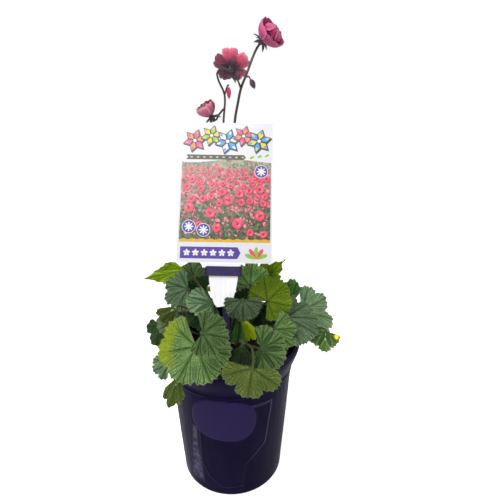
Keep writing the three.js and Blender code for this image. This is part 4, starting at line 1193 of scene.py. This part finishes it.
def add_blade(piece, leaf, seed):
    """Adds the sheet to the piece, and gives back its middle surface."""
    share, angle, radius = polar_grid(leaf, seed)
    turn = np.radians(angle)
    flat = blade_surface(leaf, radius * np.cos(turn), radius * np.sin(turn))
    half = leaf["reach"] / leaf["lobes"]
    from_rib = radius * np.abs(np.sin(np.radians(((angle / half + leaf["lobes"]) % 2 - 1) * half)))
    count = vein_count(leaf, angle, share, flat, seed)
    waves, sway = ruffled(leaf["size"], flat, share, angle, seed)
    rise = puffed(flat, share, radius, from_rib, count, seed) + waves + sway
    grid = flat + grid_normals(flat) * rise[..., None]
    over = HALF_SHEET - 0.08 * share**6
    under = HALF_SHEET + 0.35 * np.exp(-(from_rib / 0.5) ** 2) * (1 - 0.8 * share) - 0.08 * share**6
    points, faces = thin_sheet(grid, over, under)
    marks = dict(main_vein=from_rib, vein_count=count, rim=np.broadcast_to(share, radius.shape),
                 **blush_and_spot(leaf, flat, share, angle), shade=np.full(radius.shape, leaf["shade"]))
    marks = {name: np.tile(value.ravel(), 2) for name, value in marks.items()}
    matrix = leaf_matrix(leaf)
    piece.add(placed(points, matrix), faces, finish=(0, 1, 0), **marks)
    return placed(grid.reshape(-1, 3), matrix).reshape(grid.shape)


print("leaf 1 is a grid of", polar_grid(LEAVES[0], 10)[2].shape, "points")

# %% Grow the stalk, which runs on under the blade as its midrib
CROWN = dict(outer=24, inner=8, low=160, high=215, depth=8)
STALK_SIDES = 10


def stalk_line(leaf):
    """From the crown in the soil to the hub. Low leaves rise from the crown's edge."""
    hub = leaf["hub"]
    turn = math.atan2(hub[1], hub[0]) if leaf["rootAngle"] is None else math.radians(leaf["rootAngle"])
    tall = min(max((hub[2] - CROWN["low"]) / (CROWN["high"] - CROWN["low"]), 0), 1)
    reach = CROWN["outer"] + (CROWN["inner"] - CROWN["outer"]) * tall
    root = np.array([reach * math.cos(turn), reach * math.sin(turn), SOIL_TOP - CROWN["depth"]])
    collar = np.array([*root[:2], SOIL_TOP + CROWN["depth"]])
    first = np.array([*collar[:2], collar[2] + (hub[2] - collar[2]) * 0.55])
    midrib, above = leaf_matrix(leaf)[:3, [0, 2]].T
    second = hub - unit(above + 0.4 * midrib) * leaf["lead"] * np.linalg.norm(hub - collar)
    return np.concatenate([[root], bezier(collar, first, second, hub, 26)])


def add_stalk(piece, leaf, grid):
    """Adds the stalk to the piece, and gives back its line."""
    line = stalk_line(leaf)
    middle = grid[:, grid.shape[1] // 2]
    under = leaf_matrix(leaf)[:3, :3] @ np.array([0, 0, -1])
    rib = middle[2:int(len(middle) * 0.8):2] + under * 0.45
    radius = np.concatenate([np.linspace(1.35, 1.0, len(line)), np.linspace(0.75, 0.12, len(rib))])
    points, faces = tube(np.concatenate([line, rib]), radius, sides=STALK_SIDES)
    low = np.repeat(np.concatenate([np.linspace(0, 1, len(line)), np.ones(len(rib))]), STALK_SIDES)
    piece.add(points, faces, finish=2, along=np.concatenate([low, [0, 1]]))
    return line


print("the stalk of leaf 1 starts at", stalk_line(LEAVES[0])[0].round(1).tolist(), "mm")


# %% Edge the blade and the stalk with hairs
EDGE_HAIRS, STALK_HAIRS = 7, 6


def points_along(line, at):
    """The points at these places along the line, and the numbers of the steps that hold them."""
    low = at.astype(int)
    return line[low] + (line[low + 1] - line[low]) * (at - low)[:, None], low


def add_hairs(piece, grid, line, size, seed):
    """EDGE_HAIRS for each mm of the blade's length, and STALK_HAIRS for each point of the stalk."""
    random = np.random.default_rng(seed + 500)
    edge, inner = grid[-1], grid[-3]
    count = int(size * EDGE_HAIRS)
    roots, low = points_along(edge, np.sort(random.uniform(0, len(edge) - 1.001, count)))
    ways = unit(edge[low] - inner[low]) + 0.45 * random.normal(size=(count, 3))
    piece.add(*hairs(roots, ways, random.uniform(0.5, 1.3, count)), finish=3)
    count = int(len(line) * STALK_HAIRS)
    roots, low = points_along(line, random.uniform(1, len(line) - 1.001, count))
    along = unit(line[low + 1] - line[low])
    ways = unit(np.cross(along, random.normal(size=(count, 3))))
    piece.add(*hairs(roots + ways, ways + 0.2 * along, random.uniform(0.6, 1.4, count)), finish=3)


print("leaf 1 has", LEAVES[0]["size"] * EDGE_HAIRS, "hairs along its edge")

# %% [markdown]
# The blade's material reads the marks on the mesh. The distance from a main vein and the count of side veins
# draw the vein pattern, so it always follows the grooves in the geometry. The veins are darkened as painted
# shade in those grooves, and the cells between them are lightened as painted highlight. Between the side
# veins the skin is crinkled by a net too fine to model, whose lines are darkened as painted shade. It could
# be a plain noise, but a net of two sizes of cells gives closed meshes like those of a real leaf. Each leaf
# has one of six greens, from the bright lime of young leaves to the dark green of leaves inside the plant,
# which is partly painted shade. A shade then brightens or darkens each leaf: partly its own tone, as leaves
# of one plant differ, and partly painted light and painted shade.

# %% The pattern of the veins
leaf_veins, given, gives = new_group(
    "leaf veins", [("Rib", FLOAT, 1.0), ("Count", FLOAT, 0.0), ("Rim", FLOAT, 1.0)],
    [("Veins", FLOAT), ("Puff", FLOAT)])
between = sums(leaf_veins, "PINGPONG", given["Count"], 0.5)
side_line = spread(leaf_veins, between, 0.03, 0.15, 0.9, 0)
faint_line = sums(leaf_veins, "MULTIPLY", spread(leaf_veins, between, 0.4, 0.48),
                  spread(leaf_veins, given["Rim"], 0.3, 0.6, 0, 0.65))
rib_line = spread(leaf_veins, given["Rib"], 0.15, 0.75, 1, 0)
lines = sums(leaf_veins, "MAXIMUM", rib_line, sums(leaf_veins, "MAXIMUM", side_line, faint_line))
leaf_veins.links.new(lines, gives["Veins"])
raised_cells = spread(leaf_veins, between, 0.06, 0.3)
beside_rib = spread(leaf_veins, given["Rib"], 0.4, 2.2)
leaf_veins.links.new(sums(leaf_veins, "MULTIPLY", raised_cells, beside_rib), gives["Puff"])
print("the vein pattern has", len(leaf_veins.nodes), "nodes")

# %% The crinkled net between the veins
leaf_net, given, gives = new_group(
    "crinkled net", [("Scale", FLOAT, 300.0)], [("Lines", FLOAT), ("Puff", FLOAT)])


def net_lines(place, scale):
    """The distance from the edges of a net of this scale."""
    made = node(leaf_net, "ShaderNodeTexVoronoi", {"Vector": place, "Scale": scale},
                feature="DISTANCE_TO_EDGE")
    return made.outputs["Distance"]


place = node(leaf_net, "ShaderNodeTexCoord").outputs["Object"]
bent = node(leaf_net, "ShaderNodeTexNoise", {"Vector": place, "Scale": 160.0, "Detail": 2.0})
shift = node(leaf_net, "ShaderNodeVectorMath", {0: bent.outputs["Color"], "Scale": 0.004},
             operation="SCALE")
place = node(leaf_net, "ShaderNodeVectorMath", {0: place, 1: shift.outputs[0]},
             operation="ADD").outputs[0]
coarse = net_lines(place, given["Scale"])
fine = net_lines(place, sums(leaf_net, "MULTIPLY", given["Scale"], 2.3))
thin = sums(leaf_net, "MAXIMUM", spread(leaf_net, coarse, 0.02, 0.16, 1, 0),
            spread(leaf_net, fine, 0.02, 0.12, 0.5, 0))
leaf_net.links.new(thin, gives["Lines"])
leaf_net.links.new(sums(leaf_net, "MULTIPLY", spread(leaf_net, coarse, 0.03, 0.34),
                        spread(leaf_net, fine, 0.0, 0.2, 0.6, 1.0)), gives["Puff"])
print("the crinkled net has", len(leaf_net.nodes), "nodes")

# %% The greens of the blades: each with its base, the painted shade of its grooves and the painted highlight of its puffed cells
GREENS = {
    # deep is the dark green of leaves inside the plant, and partly painted shade.
    "deep": ("#25421a", "#122710", "#44632f"),
    "mid": ("#4b6b2d", "#1f3514", "#92aa74"),
    "blue": ("#4b643e", "#1c301b", "#93ad88"),
    "lime": ("#5a7200", "#3a5404", "#90a80a"),
    "olive": ("#44551a", "#2a380c", "#76853c"),
    "pale": ("#566a42", "#364e2b", "#95ab82"),
}


def veins_of(tree):
    """The vein pattern, read from the marks on the mesh."""
    return effect(tree, leaf_veins, Rib=mark(tree, "main_vein"), Count=mark(tree, "vein_count"),
                  Rim=mark(tree, "rim"))


def blade_green(name, base, groove, puff):
    """A leaf's upper side, from the pale cells down to the dark net and veins: painted highlight on the
    puffed cells, and painted shade in the net and the sunken veins.
    """
    material, tree, shader = new_material(f"leaf {name}", Specular_IOR_Level=0.18)
    veins = veins_of(tree)
    tint = effect(tree, uneven_tint, Colour=paint(base), Other=paint(groove), Scale=70.0, Amount=0.4)
    crinkle = effect(tree, leaf_net, Scale=390.0)
    # Painted light: the puffed cells are lightened as if lit, and the crinkled net and the sunken veins are
    # darkened as painted shade, also inside the blush.
    lit = sums(tree, "MULTIPLY", spread(tree, crinkle["Puff"], 0, 1, 0.6, 1.0), veins["Puff"])
    colour = mix(tree, sums(tree, "MULTIPLY", lit, 0.4), tint["Colour"], paint(puff))
    colour = mix(tree, sums(tree, "MULTIPLY", crinkle["Lines"], 0.36), colour, paint(groove))
    colour = mix(tree, sums(tree, "MULTIPLY", veins["Veins"], 0.8), colour, paint(groove))
    rim = spread(tree, mark(tree, "rim"), 0.97, 1.0)
    colour = mix(tree, sums(tree, "MULTIPLY", rim, 0.22), colour, paint("#a9a878"))
    blush = mix(tree, sums(tree, "MULTIPLY", crinkle["Lines"], 0.5), paint("#7c8a08"), paint("#4a5f08"))
    colour = mix(tree, sums(tree, "MULTIPLY", mark(tree, "blush"), 0.85), colour, blush)
    colour = mix(tree, mark(tree, "spot"), colour, paint("#f0d420"))
    # The shade mark brightens or darkens the blade: partly its own tone, partly painted light and painted
    # shade.
    shaded = node(tree, "ShaderNodeVectorMath", {0: colour, "Scale": mark(tree, "shade")}, operation="SCALE")
    skin = effect(tree, hairy_skin, Scale=900.0, Depth=0.3)
    height = sums(tree, "ADD", skin["Height"], sums(tree, "MULTIPLY", crinkle["Puff"], 1.5))
    roughness = spread(tree, tint["Mask"], 0, 1, 0.42, 0.58)
    wire(tree, shader, shaded.outputs[0], roughness, height, bump=0.6, distance=0.5)
    return material


greens = {name: blade_green(name, *codes) for name, codes in GREENS.items()}
print(len(greens), "greens")


# %% The underside, the stalk and the hairs
def hairy_wire(tree, shader, colour, tint, roughness, scale, bump, distance):
    """Wires a skin of short hairs, whose roughness varies with the colour's own mask."""
    skin = effect(tree, hairy_skin, Scale=scale, Depth=1.0)
    rough = spread(tree, tint["Mask"], 0, 1, *roughness)
    wire(tree, shader, colour, rough, skin["Height"], bump, distance)


underside, tree, shader = new_material("leaf underside", Sheen_Weight=0.25, Sheen_Roughness=0.5,
                                       Specular_IOR_Level=0.25)
veins = veins_of(tree)
tint = effect(tree, uneven_tint, Colour=paint("#7c9260"), Other=paint("#62794a"), Scale=80.0, Amount=0.5)
colour = mix(tree, sums(tree, "MULTIPLY", veins["Veins"], 0.6), tint["Colour"], paint("#b7c79a"))
hairy_wire(tree, shader, colour, tint, (0.6, 0.75), 600.0, bump=0.5, distance=0.3)

stalk_skin, tree, shader = new_material("leaf stalk", Sheen_Weight=0.05, Specular_IOR_Level=0.25)
tint = effect(tree, uneven_tint, Colour=paint("#435524"), Other=paint("#402c20"), Scale=90.0, Amount=0.5)
colour = mix(tree, spread(tree, mark(tree, "along"), 0.0, 0.5, 0.75, 0.1), tint["Colour"], paint("#3a1f24"))
hairy_wire(tree, shader, colour, tint, (0.45, 0.6), 800.0, bump=0.4, distance=0.2)

plant_hair, tree, shader = new_material("plant hair", Specular_IOR_Level=0.3)
tint = effect(tree, uneven_tint, Colour=paint("#848d68"), Other=paint("#6f5f4f"), Scale=150.0, Amount=0.9)
wire(tree, shader, tint["Colour"], spread(tree, tint["Mask"], 0, 1, 0.5, 0.7))
print(underside.name, stalk_skin.name, plant_hair.name, sep=", ")

# %% Build every leaf
for number, row in enumerate(LEAVES, 1):
    piece = Piece(f"geum_leaf_{number:02d}")
    grid = add_blade(piece, row, number * 10)
    line = add_stalk(piece, row, grid)
    add_hairs(piece, grid, line, row["size"], number)
    piece.build([greens[row["tone"]], underside, stalk_skin, plant_hair],
                f"leaf_{row['tone']}", [f"leaf_{number:02d}"], crease=55)

# %% [markdown]
# ## The flower stems
# Two wiry purple stems rise behind the label and branch near their tops. They are tubes that
# thin upward, with short hairs, and each side branch is a little thicker where it leaves its stem.
# Curve objects with a bevel would do too, but tubes from the same helper can carry the mark that
# gives them more green patches towards the top.

# %% The stems' lines and branches
SCAPES = {
    "left": [(-5, 7, 123), (-5, 7, 136), (-7, 22, 215), (-6, 38, 300), (-4, 52, 363), (-2.5, 56, 389),
             (-8, 55, 402), (-9, 52, 408), (-5, 48.5, 412), (2.6, 48, 410)],
    "right": [(7, 9, 123), (7, 9, 136), (7, 24, 215), (5, 41, 300), (7, 53, 363), (10.5, 54, 382),
              (13.5, 52, 395), (18.4, 48, 406.6), (26.5, 56, 426), (31, 63, 433.6), (33, 62.5, 435.8)],
}
BRANCHES = {
    "left": [([(-3.6, 54, 376), (-8, 55.5, 371), (-11, 56.5, 366), (-13.4, 56, 365)], 0.8),
             ([(-2.5, 56, 388), (0, 56, 396), (1.4, 56, 398), (1.4, 56, 396.5)], 0.6)],
    "right": [([(17, 48.6, 404), (20.5, 47.5, 405), (22.8, 47, 401)], 0.7),
              ([(13.5, 52, 394), (11.5, 49, 399), (10, 45, 402)], 0.8)],
}
print("the stems pass through", [len(line) for line in SCAPES.values()], "points")

# %% The buds and the blooms
# A bud has its place, its axis, its radius and its length. In a bloom, open and inner are the leans of a
# petal at its foot and at its tip, in degrees from the bloom's axis. heart has the share of the length that
# the three innermost petals have, and their leans. The shades are painted shade: they darken the outer five
# petals and then the inner ones, most on those that lie in shade.
BUDS = [((22.6, 47, 402.4), (0.45, 0, -1), 2.4, 9), ((10, 45.5, 401), (0, -0.3, 1), 2, 8)]
CORAL_BUD = ((1.4, 56, 396), (0.05, 0, -1), 1.9, 11)

BLOOMS = {
    "top": dict(foot=(35, 61, 437.5), axis=(0.65, -0.5, 0.5), length=20, width=9, open=(88, -4),
                inner=(64, -46), heart=(1.0, (52, -58)), ruffle=0.25, sepals=9,
                shades=(0.25, 0, 0, 0.4, 0.4, 0.1, 0)),
    "middle": dict(foot=(4, 53, 413), axis=(0.1, 0.8, 0.6), length=16, width=7.5, open=(88, 66),
                   inner=(66, 20), heart=(0.58, (56, 14)), ruffle=0.6, sepals=12,
                   shades=(0.85, 0, 0.1, 0.4, 0.95, 0, 0)),
    "low": dict(foot=(-16, 55, 369), axis=(-0.5, -0.2, 0.84), length=16, width=7.5, open=(72, -20),
                inner=(50, -20), heart=(0.72, (46, -40)), ruffle=0.4, sepals=9,
                shades=(0.15, 0.9, 0.5, 0.2, 0, 0)),
}


def axis_matrix(axis, place):
    """A frame whose Z runs along the axis, set at the place."""
    up = unit(np.array(axis, float))
    side = unit(np.cross((0, 0, 1), up))
    matrix = np.eye(4)
    matrix[:3, :3] = np.stack([side, np.cross(up, side), up], 1)
    matrix[:3, 3] = place
    return matrix


print("blooms at heights of", [bloom["foot"][2] for bloom in BLOOMS.values()], "mm")


# %% The surface of a petal or a sepal, which leans in BENDS small steps
BENDS = 12


def petal_surface(petal, s, q):
    """s runs from the foot to the tip and q from side to side, as in the CAD source."""
    length, (first, last) = petal["length"], petal["open"]
    radius, rise = np.full(s.shape, float(petal["start"])), np.full(s.shape, float(petal["height"]))
    for i in range(BENDS):
        lean = np.radians(first + (last - first) * (i + 0.5) / BENDS * s)
        radius = radius + length * s / BENDS * np.sin(lean)
        rise = rise + length * s / BENDS * np.cos(lean)
    lean = np.radians(first + (last - first) * s)
    taper = np.sqrt(np.maximum(1 - 0.55 * (1.6 * s - 0.75) ** 4, 0.02))
    half = petal["width"] * (0.3 + 0.7 * np.sin(np.minimum(1, 1.5 * s) * math.pi / 2)) * taper
    if petal.get("pointed"):
        half = half * (1 - 0.85 * smooth_step(s, 0.35, 1))
    wave = petal["ruffle"] * s * np.sin(3 * q + 2 * petal["turn"])
    wave = wave + petal["ruffle"] * 0.7 * s**3 * np.sin(8 * q + 5 * petal["turn"])
    cup = petal["cup"] * half * q * q
    radial = radius - (cup + wave) * np.cos(lean)
    up = rise + (cup + wave) * np.sin(lean)
    side = half * q
    c, d = math.cos(petal["turn"]), math.sin(petal["turn"])
    return np.stack([radial * c - side * d, radial * d + side * c, up], -1)


def add_petal(piece, petal, matrix, rows, columns, finish=0, thick=0.3):
    """Adds one petal as a sheet with a notch, a frill and fine ribs. A sepal has only the ribs."""
    s, q = np.meshgrid(np.linspace(0.0, 1, rows), np.linspace(-1, 1, columns), indexing="ij")
    blunt = 0 if petal.get("pointed") else 1
    notch = 0.07 * np.exp(-(q / 0.22) ** 2) * blunt
    frill = 0.012 * np.sin(q * 13 + petal["turn"] * 3) * blunt
    along = s * (1 - 0.1 * q * q - notch + frill)
    grid = petal_surface(petal, along, q)
    ribs = 0.05 * np.cos(q * 26 / (0.4 + 0.6 * s)) * s
    grid = grid + grid_normals(grid) * ribs[..., None]
    points, faces = thin_sheet(grid, thick / 2, thick / 2)
    marks = {name: np.tile(value.ravel(), 2) for name, value in (("along", s), ("across", q))}
    piece.add(placed(points, matrix), faces, finish=finish, shade=petal.get("shade", 0), **marks)


print("a petal leans in", BENDS, "steps")


# %% The hairs of the stems, and the calyx under each bloom
HAIR_WIDTH, BELL_HAIRS = 0.06, 150
BELL = [(0, -6), (0.7, -5.95), (1.1, -5.5), (1.9, -4.4), (2.6, -3), (3.1, -1.6), (3.25, -0.5), (3, 0),
        (0, 0.1)]


def turned_at(piece, profile, matrix, sides, finish, **marks):
    """Adds a turned shape that stands in the matrix's frame."""
    points, faces = turned(profile, sides)
    piece.add(placed(points, matrix), faces, finish=finish, **marks)


def scatter_hairs(piece, line, radius, per_mm, lengths, seed, finish):
    """So many hairs for each mm of a round stem."""
    random = np.random.default_rng(seed)
    along = np.linalg.norm(np.diff(line, axis=0), axis=1)
    count = int(along.sum() * per_mm)
    at = random.choice(len(along), count, p=along / along.sum())
    roots = line[at] + (line[at + 1] - line[at]) * random.random((count, 1))
    ways = unit(np.cross(unit(line[at + 1] - line[at]), random.normal(size=(count, 3))))
    lengths = random.uniform(*lengths, count)
    piece.add(*hairs(roots + ways * radius * 0.9, ways, lengths, HAIR_WIDTH), finish=finish)


def add_calyx(piece, bloom, seed):
    """A bell with five sepals, five small ones between them, and hairs."""
    matrix = axis_matrix(bloom["axis"], bloom["foot"])
    turned_at(piece, BELL, matrix, 20, 0, along=0.2)
    for i in range(5):
        sepal = dict(length=bloom["sepals"], width=bloom["sepals"] * 0.22, open=(104, 124),
                     turn=(i + 0.5) / 5 * 2 * math.pi, start=2.2, height=-1, cup=0.2, ruffle=0.1,
                     pointed=True)
        add_petal(piece, sepal, matrix, rows=10, columns=7, finish=1, thick=0.5)
        small = {**sepal, "length": bloom["sepals"] * 0.65, "width": 0.9, "open": (98, 112),
                 "turn": (i + 1) / 5 * 2 * math.pi}
        add_petal(piece, small, matrix, rows=8, columns=5, finish=1, thick=0.4)
    random = np.random.default_rng(seed)
    turn, z = random.uniform(0, 2 * math.pi, BELL_HAIRS), random.uniform(-5.4, -0.2, BELL_HAIRS)
    r = 3.2 * np.sin(np.clip((z + 6.2) / 6, 0, 1) * 1.6)
    ways = np.stack([np.cos(turn), np.sin(turn), random.uniform(-0.5, 0.3, BELL_HAIRS)], -1)
    roots = np.stack([r * np.cos(turn), r * np.sin(turn), z], -1)
    points, faces = hairs(roots, ways, random.uniform(0.7, 1.5, BELL_HAIRS), HAIR_WIDTH)
    piece.add(placed(points, matrix), faces, finish=2)


print("a calyx is", BELL[-2][1] - BELL[0][1], "mm deep, with", BELL_HAIRS, "hairs")


# %% Grow the stems with their buds
def add_bud(piece, place, axis, radius, length, finish=0):
    """A closed bud: a turned drop under five narrow ribs."""
    matrix = axis_matrix(axis, place)
    t = np.linspace(0, 1, 14)
    r = radius * np.interp(t, [0, 0.2, 0.45, 0.8, 1], [0.1, 0.75, 1, 0.6, 0.08])
    profile = [(0, 0), *zip(r, t * length), (0, length)]
    turned_at(piece, profile, matrix, 16, finish, along=0.5)
    for i in range(5):
        turn = i / 5 * 2 * math.pi
        line = [(radius * 1.02 * a * math.cos(turn), radius * 1.02 * a * math.sin(turn), b * length)
                for a, b in ((0.4, 0.03), (0.8, 0.2), (1, 0.42), (0.82, 0.62), (0.55, 0.82), (0.1, 1.0))]
        points, faces = tube(line, [0.2, 0.45, 0.5, 0.45, 0.3, 0.08], sides=6)
        piece.add(placed(points, matrix), faces, finish=finish, along=0.3)


STEM_SIDES = 12
stems = {}
for side, foot_radius, blooms, buds in (("left", 1.15, ("middle", "low"), ()),
                                        ("right", 1.4, ("top",), BUDS)):
    stems[side] = piece = Piece(f"flower_stem_{side}")
    line = smooth_line(SCAPES[side], 7)
    lift = np.linspace(0, 1, len(line))
    points, faces = tube(line, foot_radius - 0.3 * lift, sides=STEM_SIDES)
    piece.add(points, faces, finish=0, along=np.append(np.repeat(lift, STEM_SIDES), [0, 1]))
    scatter_hairs(piece, line, 0.9, 2.0, (0.5, 1.2), 71, 2)
    for path, radius in BRANCHES[side]:
        twig = smooth_line(path, 6)
        points, faces = tube(twig, np.linspace(radius * 1.25, radius, len(twig)), sides=9)
        piece.add(points, faces, finish=0, along=0.9)
        scatter_hairs(piece, twig, radius, 4.0, (0.4, 1.0), 72, 2)
    for bud in buds:
        add_bud(piece, *bud, finish=1)
    for k, name in enumerate(blooms):
        add_calyx(piece, BLOOMS[name], 80 + k)
print(len(stems), "stems, with", len(BUDS), "buds")

# %% The stems' skins
stem_skin, tree, shader = new_material("stem skin", Sheen_Weight=0.15, Specular_IOR_Level=0.4)
tint = effect(tree, uneven_tint, Colour=paint("#33242e"), Other=paint("#48383a"), Scale=60.0, Amount=0.7)
lift = mark(tree, "along")
patches = spread(tree, noise(tree, 34.0, 2.0), 0.52, 0.7, 0, 0.7)
colour = mix(tree, sums(tree, "MULTIPLY", patches, lift), tint["Colour"], paint("#586240"))
hairy_wire(tree, shader, colour, tint, (0.45, 0.62), 900.0, bump=0.4, distance=0.2)

sepal_skin, tree, shader = new_material("sepal skin", Sheen_Weight=0.3, Specular_IOR_Level=0.3)
tint = effect(tree, uneven_tint, Colour=paint("#38203a"), Other=paint("#4b2f45"), Scale=160.0, Amount=0.8)
colour = mix(tree, spread(tree, mark(tree, "along"), 0.3, 1.0, 0, 0.6), tint["Colour"], paint("#69505c"))
hairy_wire(tree, shader, colour, tint, (0.5, 0.7), 900.0, bump=0.5, distance=0.25)

for side, piece in stems.items():
    piece.build([stem_skin, sepal_skin, plant_hair], "stem", [f"scape_{side}"], crease=50)

# %% [markdown]
# ## The blooms
# The blooms are semi-double, with thin ruffled petals that overlap round a tuft of stamens. Each
# petal is a sheet bent by the same formula as its solid, with a small notch, a frill and fine ribs
# along it. Three more heart petals fill each cup, where the CAD model has only one or two inner
# ones. They lean in far enough to close the top bloom, and stand open in the middle one. Petals
# could be painted on a ball, but then light would not pass between them.

# %% The petals' pinks, with a dusky foot and painted shade from each petal's shade mark
PETAL_PINKS = {
    "top": ("#bf4079", "#93305f", "#dd7ba2", "#5a2440", 0.3),
    "middle": ("#ec6484", "#b8405f", "#f6a4ae", "#3a1f32", 0.62),
    "low": ("#cc6c88", "#9a4c68", "#eeb0bb", "#4a2835", 0.35),
}


def petal_pink(name, base, vein, edge, dusk, reach):
    """A petal's pink with fine lines, a pale edge, and a dusky foot that ends at this reach."""
    material, tree, shader = new_material(f"petal {name}", Sheen_Weight=0.15, Specular_IOR_Level=0.2)
    along, across = mark(tree, "along"), mark(tree, "across")
    tint = effect(tree, uneven_tint, Colour=paint(base), Other=paint(vein), Scale=60.0, Amount=0.7)
    lines = sums(tree, "ABSOLUTE", sums(tree, "SINE", sums(tree, "MULTIPLY", across, 13.0)))
    thin = spread(tree, lines, 0.0, 0.5, 0.25, 0.0)
    colour = mix(tree, thin, tint["Colour"], paint(vein))
    margin = sums(tree, "MAXIMUM", along, sums(tree, "ABSOLUTE", across))
    colour = mix(tree, spread(tree, margin, 0.75, 1.0, 0, 0.55), colour, paint(edge))
    foot = spread(tree, along, 0.1, reach, 0.9, 0.0)
    # The shade mark darkens whole petals toward the dusk colour: painted shade.
    dusky = sums(tree, "MAXIMUM", foot, sums(tree, "MULTIPLY", mark(tree, "shade"), 0.9))
    colour = mix(tree, dusky, colour, paint(dusk))
    hairy_wire(tree, shader, colour, tint, (0.45, 0.6), 700.0, bump=0.08, distance=0.12)
    return material


print(len(PETAL_PINKS), "pinks")

# %% Open the petals on their collars: an outer ring of five, an inner ring, and the heart
OUTER, HEART = 5, 3
COLLAR = [(0, 0.3), (1.8, 0.3), (2.6, 0.6), (2.6, 1.6), (1.8, 1.9), (0, 1.95)]
for number, (name, bloom) in enumerate(BLOOMS.items()):
    random = np.random.default_rng(40 + number)
    piece = Piece(f"bloom_{name}")
    matrix = axis_matrix(bloom["axis"], bloom["foot"])
    turned_at(piece, COLLAR, matrix, 18, 0, along=0.0)
    for i, shade in enumerate(bloom["shades"]):
        inside = i >= OUTER
        ring = len(bloom["shades"]) - OUTER if inside else OUTER
        shrink = 0.8 if inside else 1
        petal = dict(length=bloom["length"] * shrink, width=bloom["width"] * shrink,
                     open=bloom["inner"] if inside else bloom["open"],
                     turn=((i + 0.5 if inside else i) / ring) * 2 * math.pi + 0.3,
                     start=1.6 + 0.25 * (2 * i % 5), height=0.3 + (1.2 if inside else 0.5),
                     cup=0.35, ruffle=bloom["ruffle"], shade=shade)
        add_petal(piece, petal, matrix, rows=26, columns=24)
    share, (first, last) = bloom["heart"]
    for i in range(HEART):
        petal = dict(length=bloom["length"] * share, width=bloom["width"] * min(1, share * 1.15),
                     open=(first, last - 10 * random.random()),
                     turn=(i + 0.35) / HEART * 2 * math.pi + 0.9, start=1.5 + 0.3 * i, height=1.7,
                     cup=0.45, ruffle=0.6 * bloom["ruffle"], shade=0.1)
        add_petal(piece, petal, matrix, rows=20, columns=18)
    tone = "rose" if name == "top" else "pink"
    piece.build([petal_pink(name, *PETAL_PINKS[name])], f"petal_{tone}", [f"petals_{name}"], crease=60)

# %% Fill the middle with stamens
STAMENS = 46
CORE = [(0, 2.2), (1.2, 2.25), (1.5, 3.2), (1.4, 4.4), (0.9, 5.6), (0, 6.1)]
stamen_skin, tree, shader = new_material("stamen skin", Specular_IOR_Level=0.3)
tint = effect(tree, uneven_tint, Colour=paint("#d9c08a"), Other=paint("#a98a55"), Scale=300.0, Amount=0.7)
colour = mix(tree, spread(tree, mark(tree, "along"), 0.7, 1.0), tint["Colour"], paint("#b98f3e"))
wire(tree, shader, colour, spread(tree, tint["Mask"], 0, 1, 0.5, 0.7))

for number, (name, bloom) in enumerate(BLOOMS.items()):
    random = np.random.default_rng(60 + number)
    piece = Piece(f"bloom_{name}_stamens")
    matrix = axis_matrix(bloom["axis"], bloom["foot"])
    turned_at(piece, CORE, matrix, 14, 0, along=0.3)
    for _ in range(STAMENS):
        turn, lean = random.uniform(0, 2 * math.pi), math.radians(random.uniform(4, 38))
        out = math.sin(lean)
        way = np.array([out * math.cos(turn), out * math.sin(turn), math.cos(lean)])
        length = random.uniform(4.2, 6.0)
        arch = np.outer([0, 0.06, 0.02, 0], (0, 0, length))
        line = np.outer([0, 0.4, 0.8, 1], way * length) + (0, 0, 2.6) + arch
        points, faces = tube(line, [0.13, 0.11, 0.1, 0.1], sides=5)
        piece.add(placed(points, matrix), faces, along=0.2)
        anther = ball_points * (0.34, 0.34, 0.5) + line[-1]
        piece.add(placed(anther, matrix), [ball_faces], along=1.0)
    piece.build([stamen_skin], "stamen", [f"stamens_{name}"])

# %% The coral bud
coral_skin, tree, shader = new_material("coral bud skin", Sheen_Weight=0.2, Specular_IOR_Level=0.35)
tint = effect(tree, uneven_tint, Colour=paint("#e03c58"), Other=paint("#a82544"), Scale=260.0, Amount=0.7)
colour = mix(tree, spread(tree, mark(tree, "along"), 0.3, 0.5, 0.5, 0.0), tint["Colour"], paint("#c23a50"))
wire(tree, shader, colour, spread(tree, tint["Mask"], 0, 1, 0.4, 0.6))
piece = Piece("coral_bud")
add_bud(piece, *CORAL_BUD)
piece.build([coral_skin], "bud_coral", ["bud_coral"])

# %% [markdown]
# ## The floor
# The plant stands on a plain pale floor. The floor could be left out, but then the pot would hang in white,
# and light would reach it from below. It is a wide flat sheet that isn't part of the object. A faint
# unevenness keeps it from being one flat colour.

# %% Lay the floor
floor_mesh = bpy.data.meshes.new("floor")
REACH = 6
corners = [(-REACH, -REACH, 0), (REACH, -REACH, 0), (REACH, REACH, 0), (-REACH, REACH, 0)]
floor_mesh.from_pydata(corners, [], [(0, 1, 2, 3)])
floor = bpy.data.objects.new("floor", floor_mesh)
floor.location.z = -0.0002
bpy.context.scene.collection.objects.link(floor)
floor_paper, tree, shader = new_material("floor paper", Specular_IOR_Level=0.1)
tint = effect(tree, uneven_tint, Colour=paint("#fbfbfa"), Other=paint("#f7f7f6"), Scale=3.0, Amount=0.5)
wire(tree, shader, tint["Colour"], spread(tree, tint["Mask"], 0, 1, 0.8, 0.95))
seen = node(tree, "ShaderNodeLightPath").outputs["Is Camera Ray"]
shader.inputs["Emission Color"].default_value = (1, 1, 1, 1)
tree.links.new(spread(tree, seen, 0, 1, 0.05, 0.72), shader.inputs["Emission Strength"])
floor_mesh.materials.append(floor_paper)
print("the floor is", 2 * REACH, "m wide")
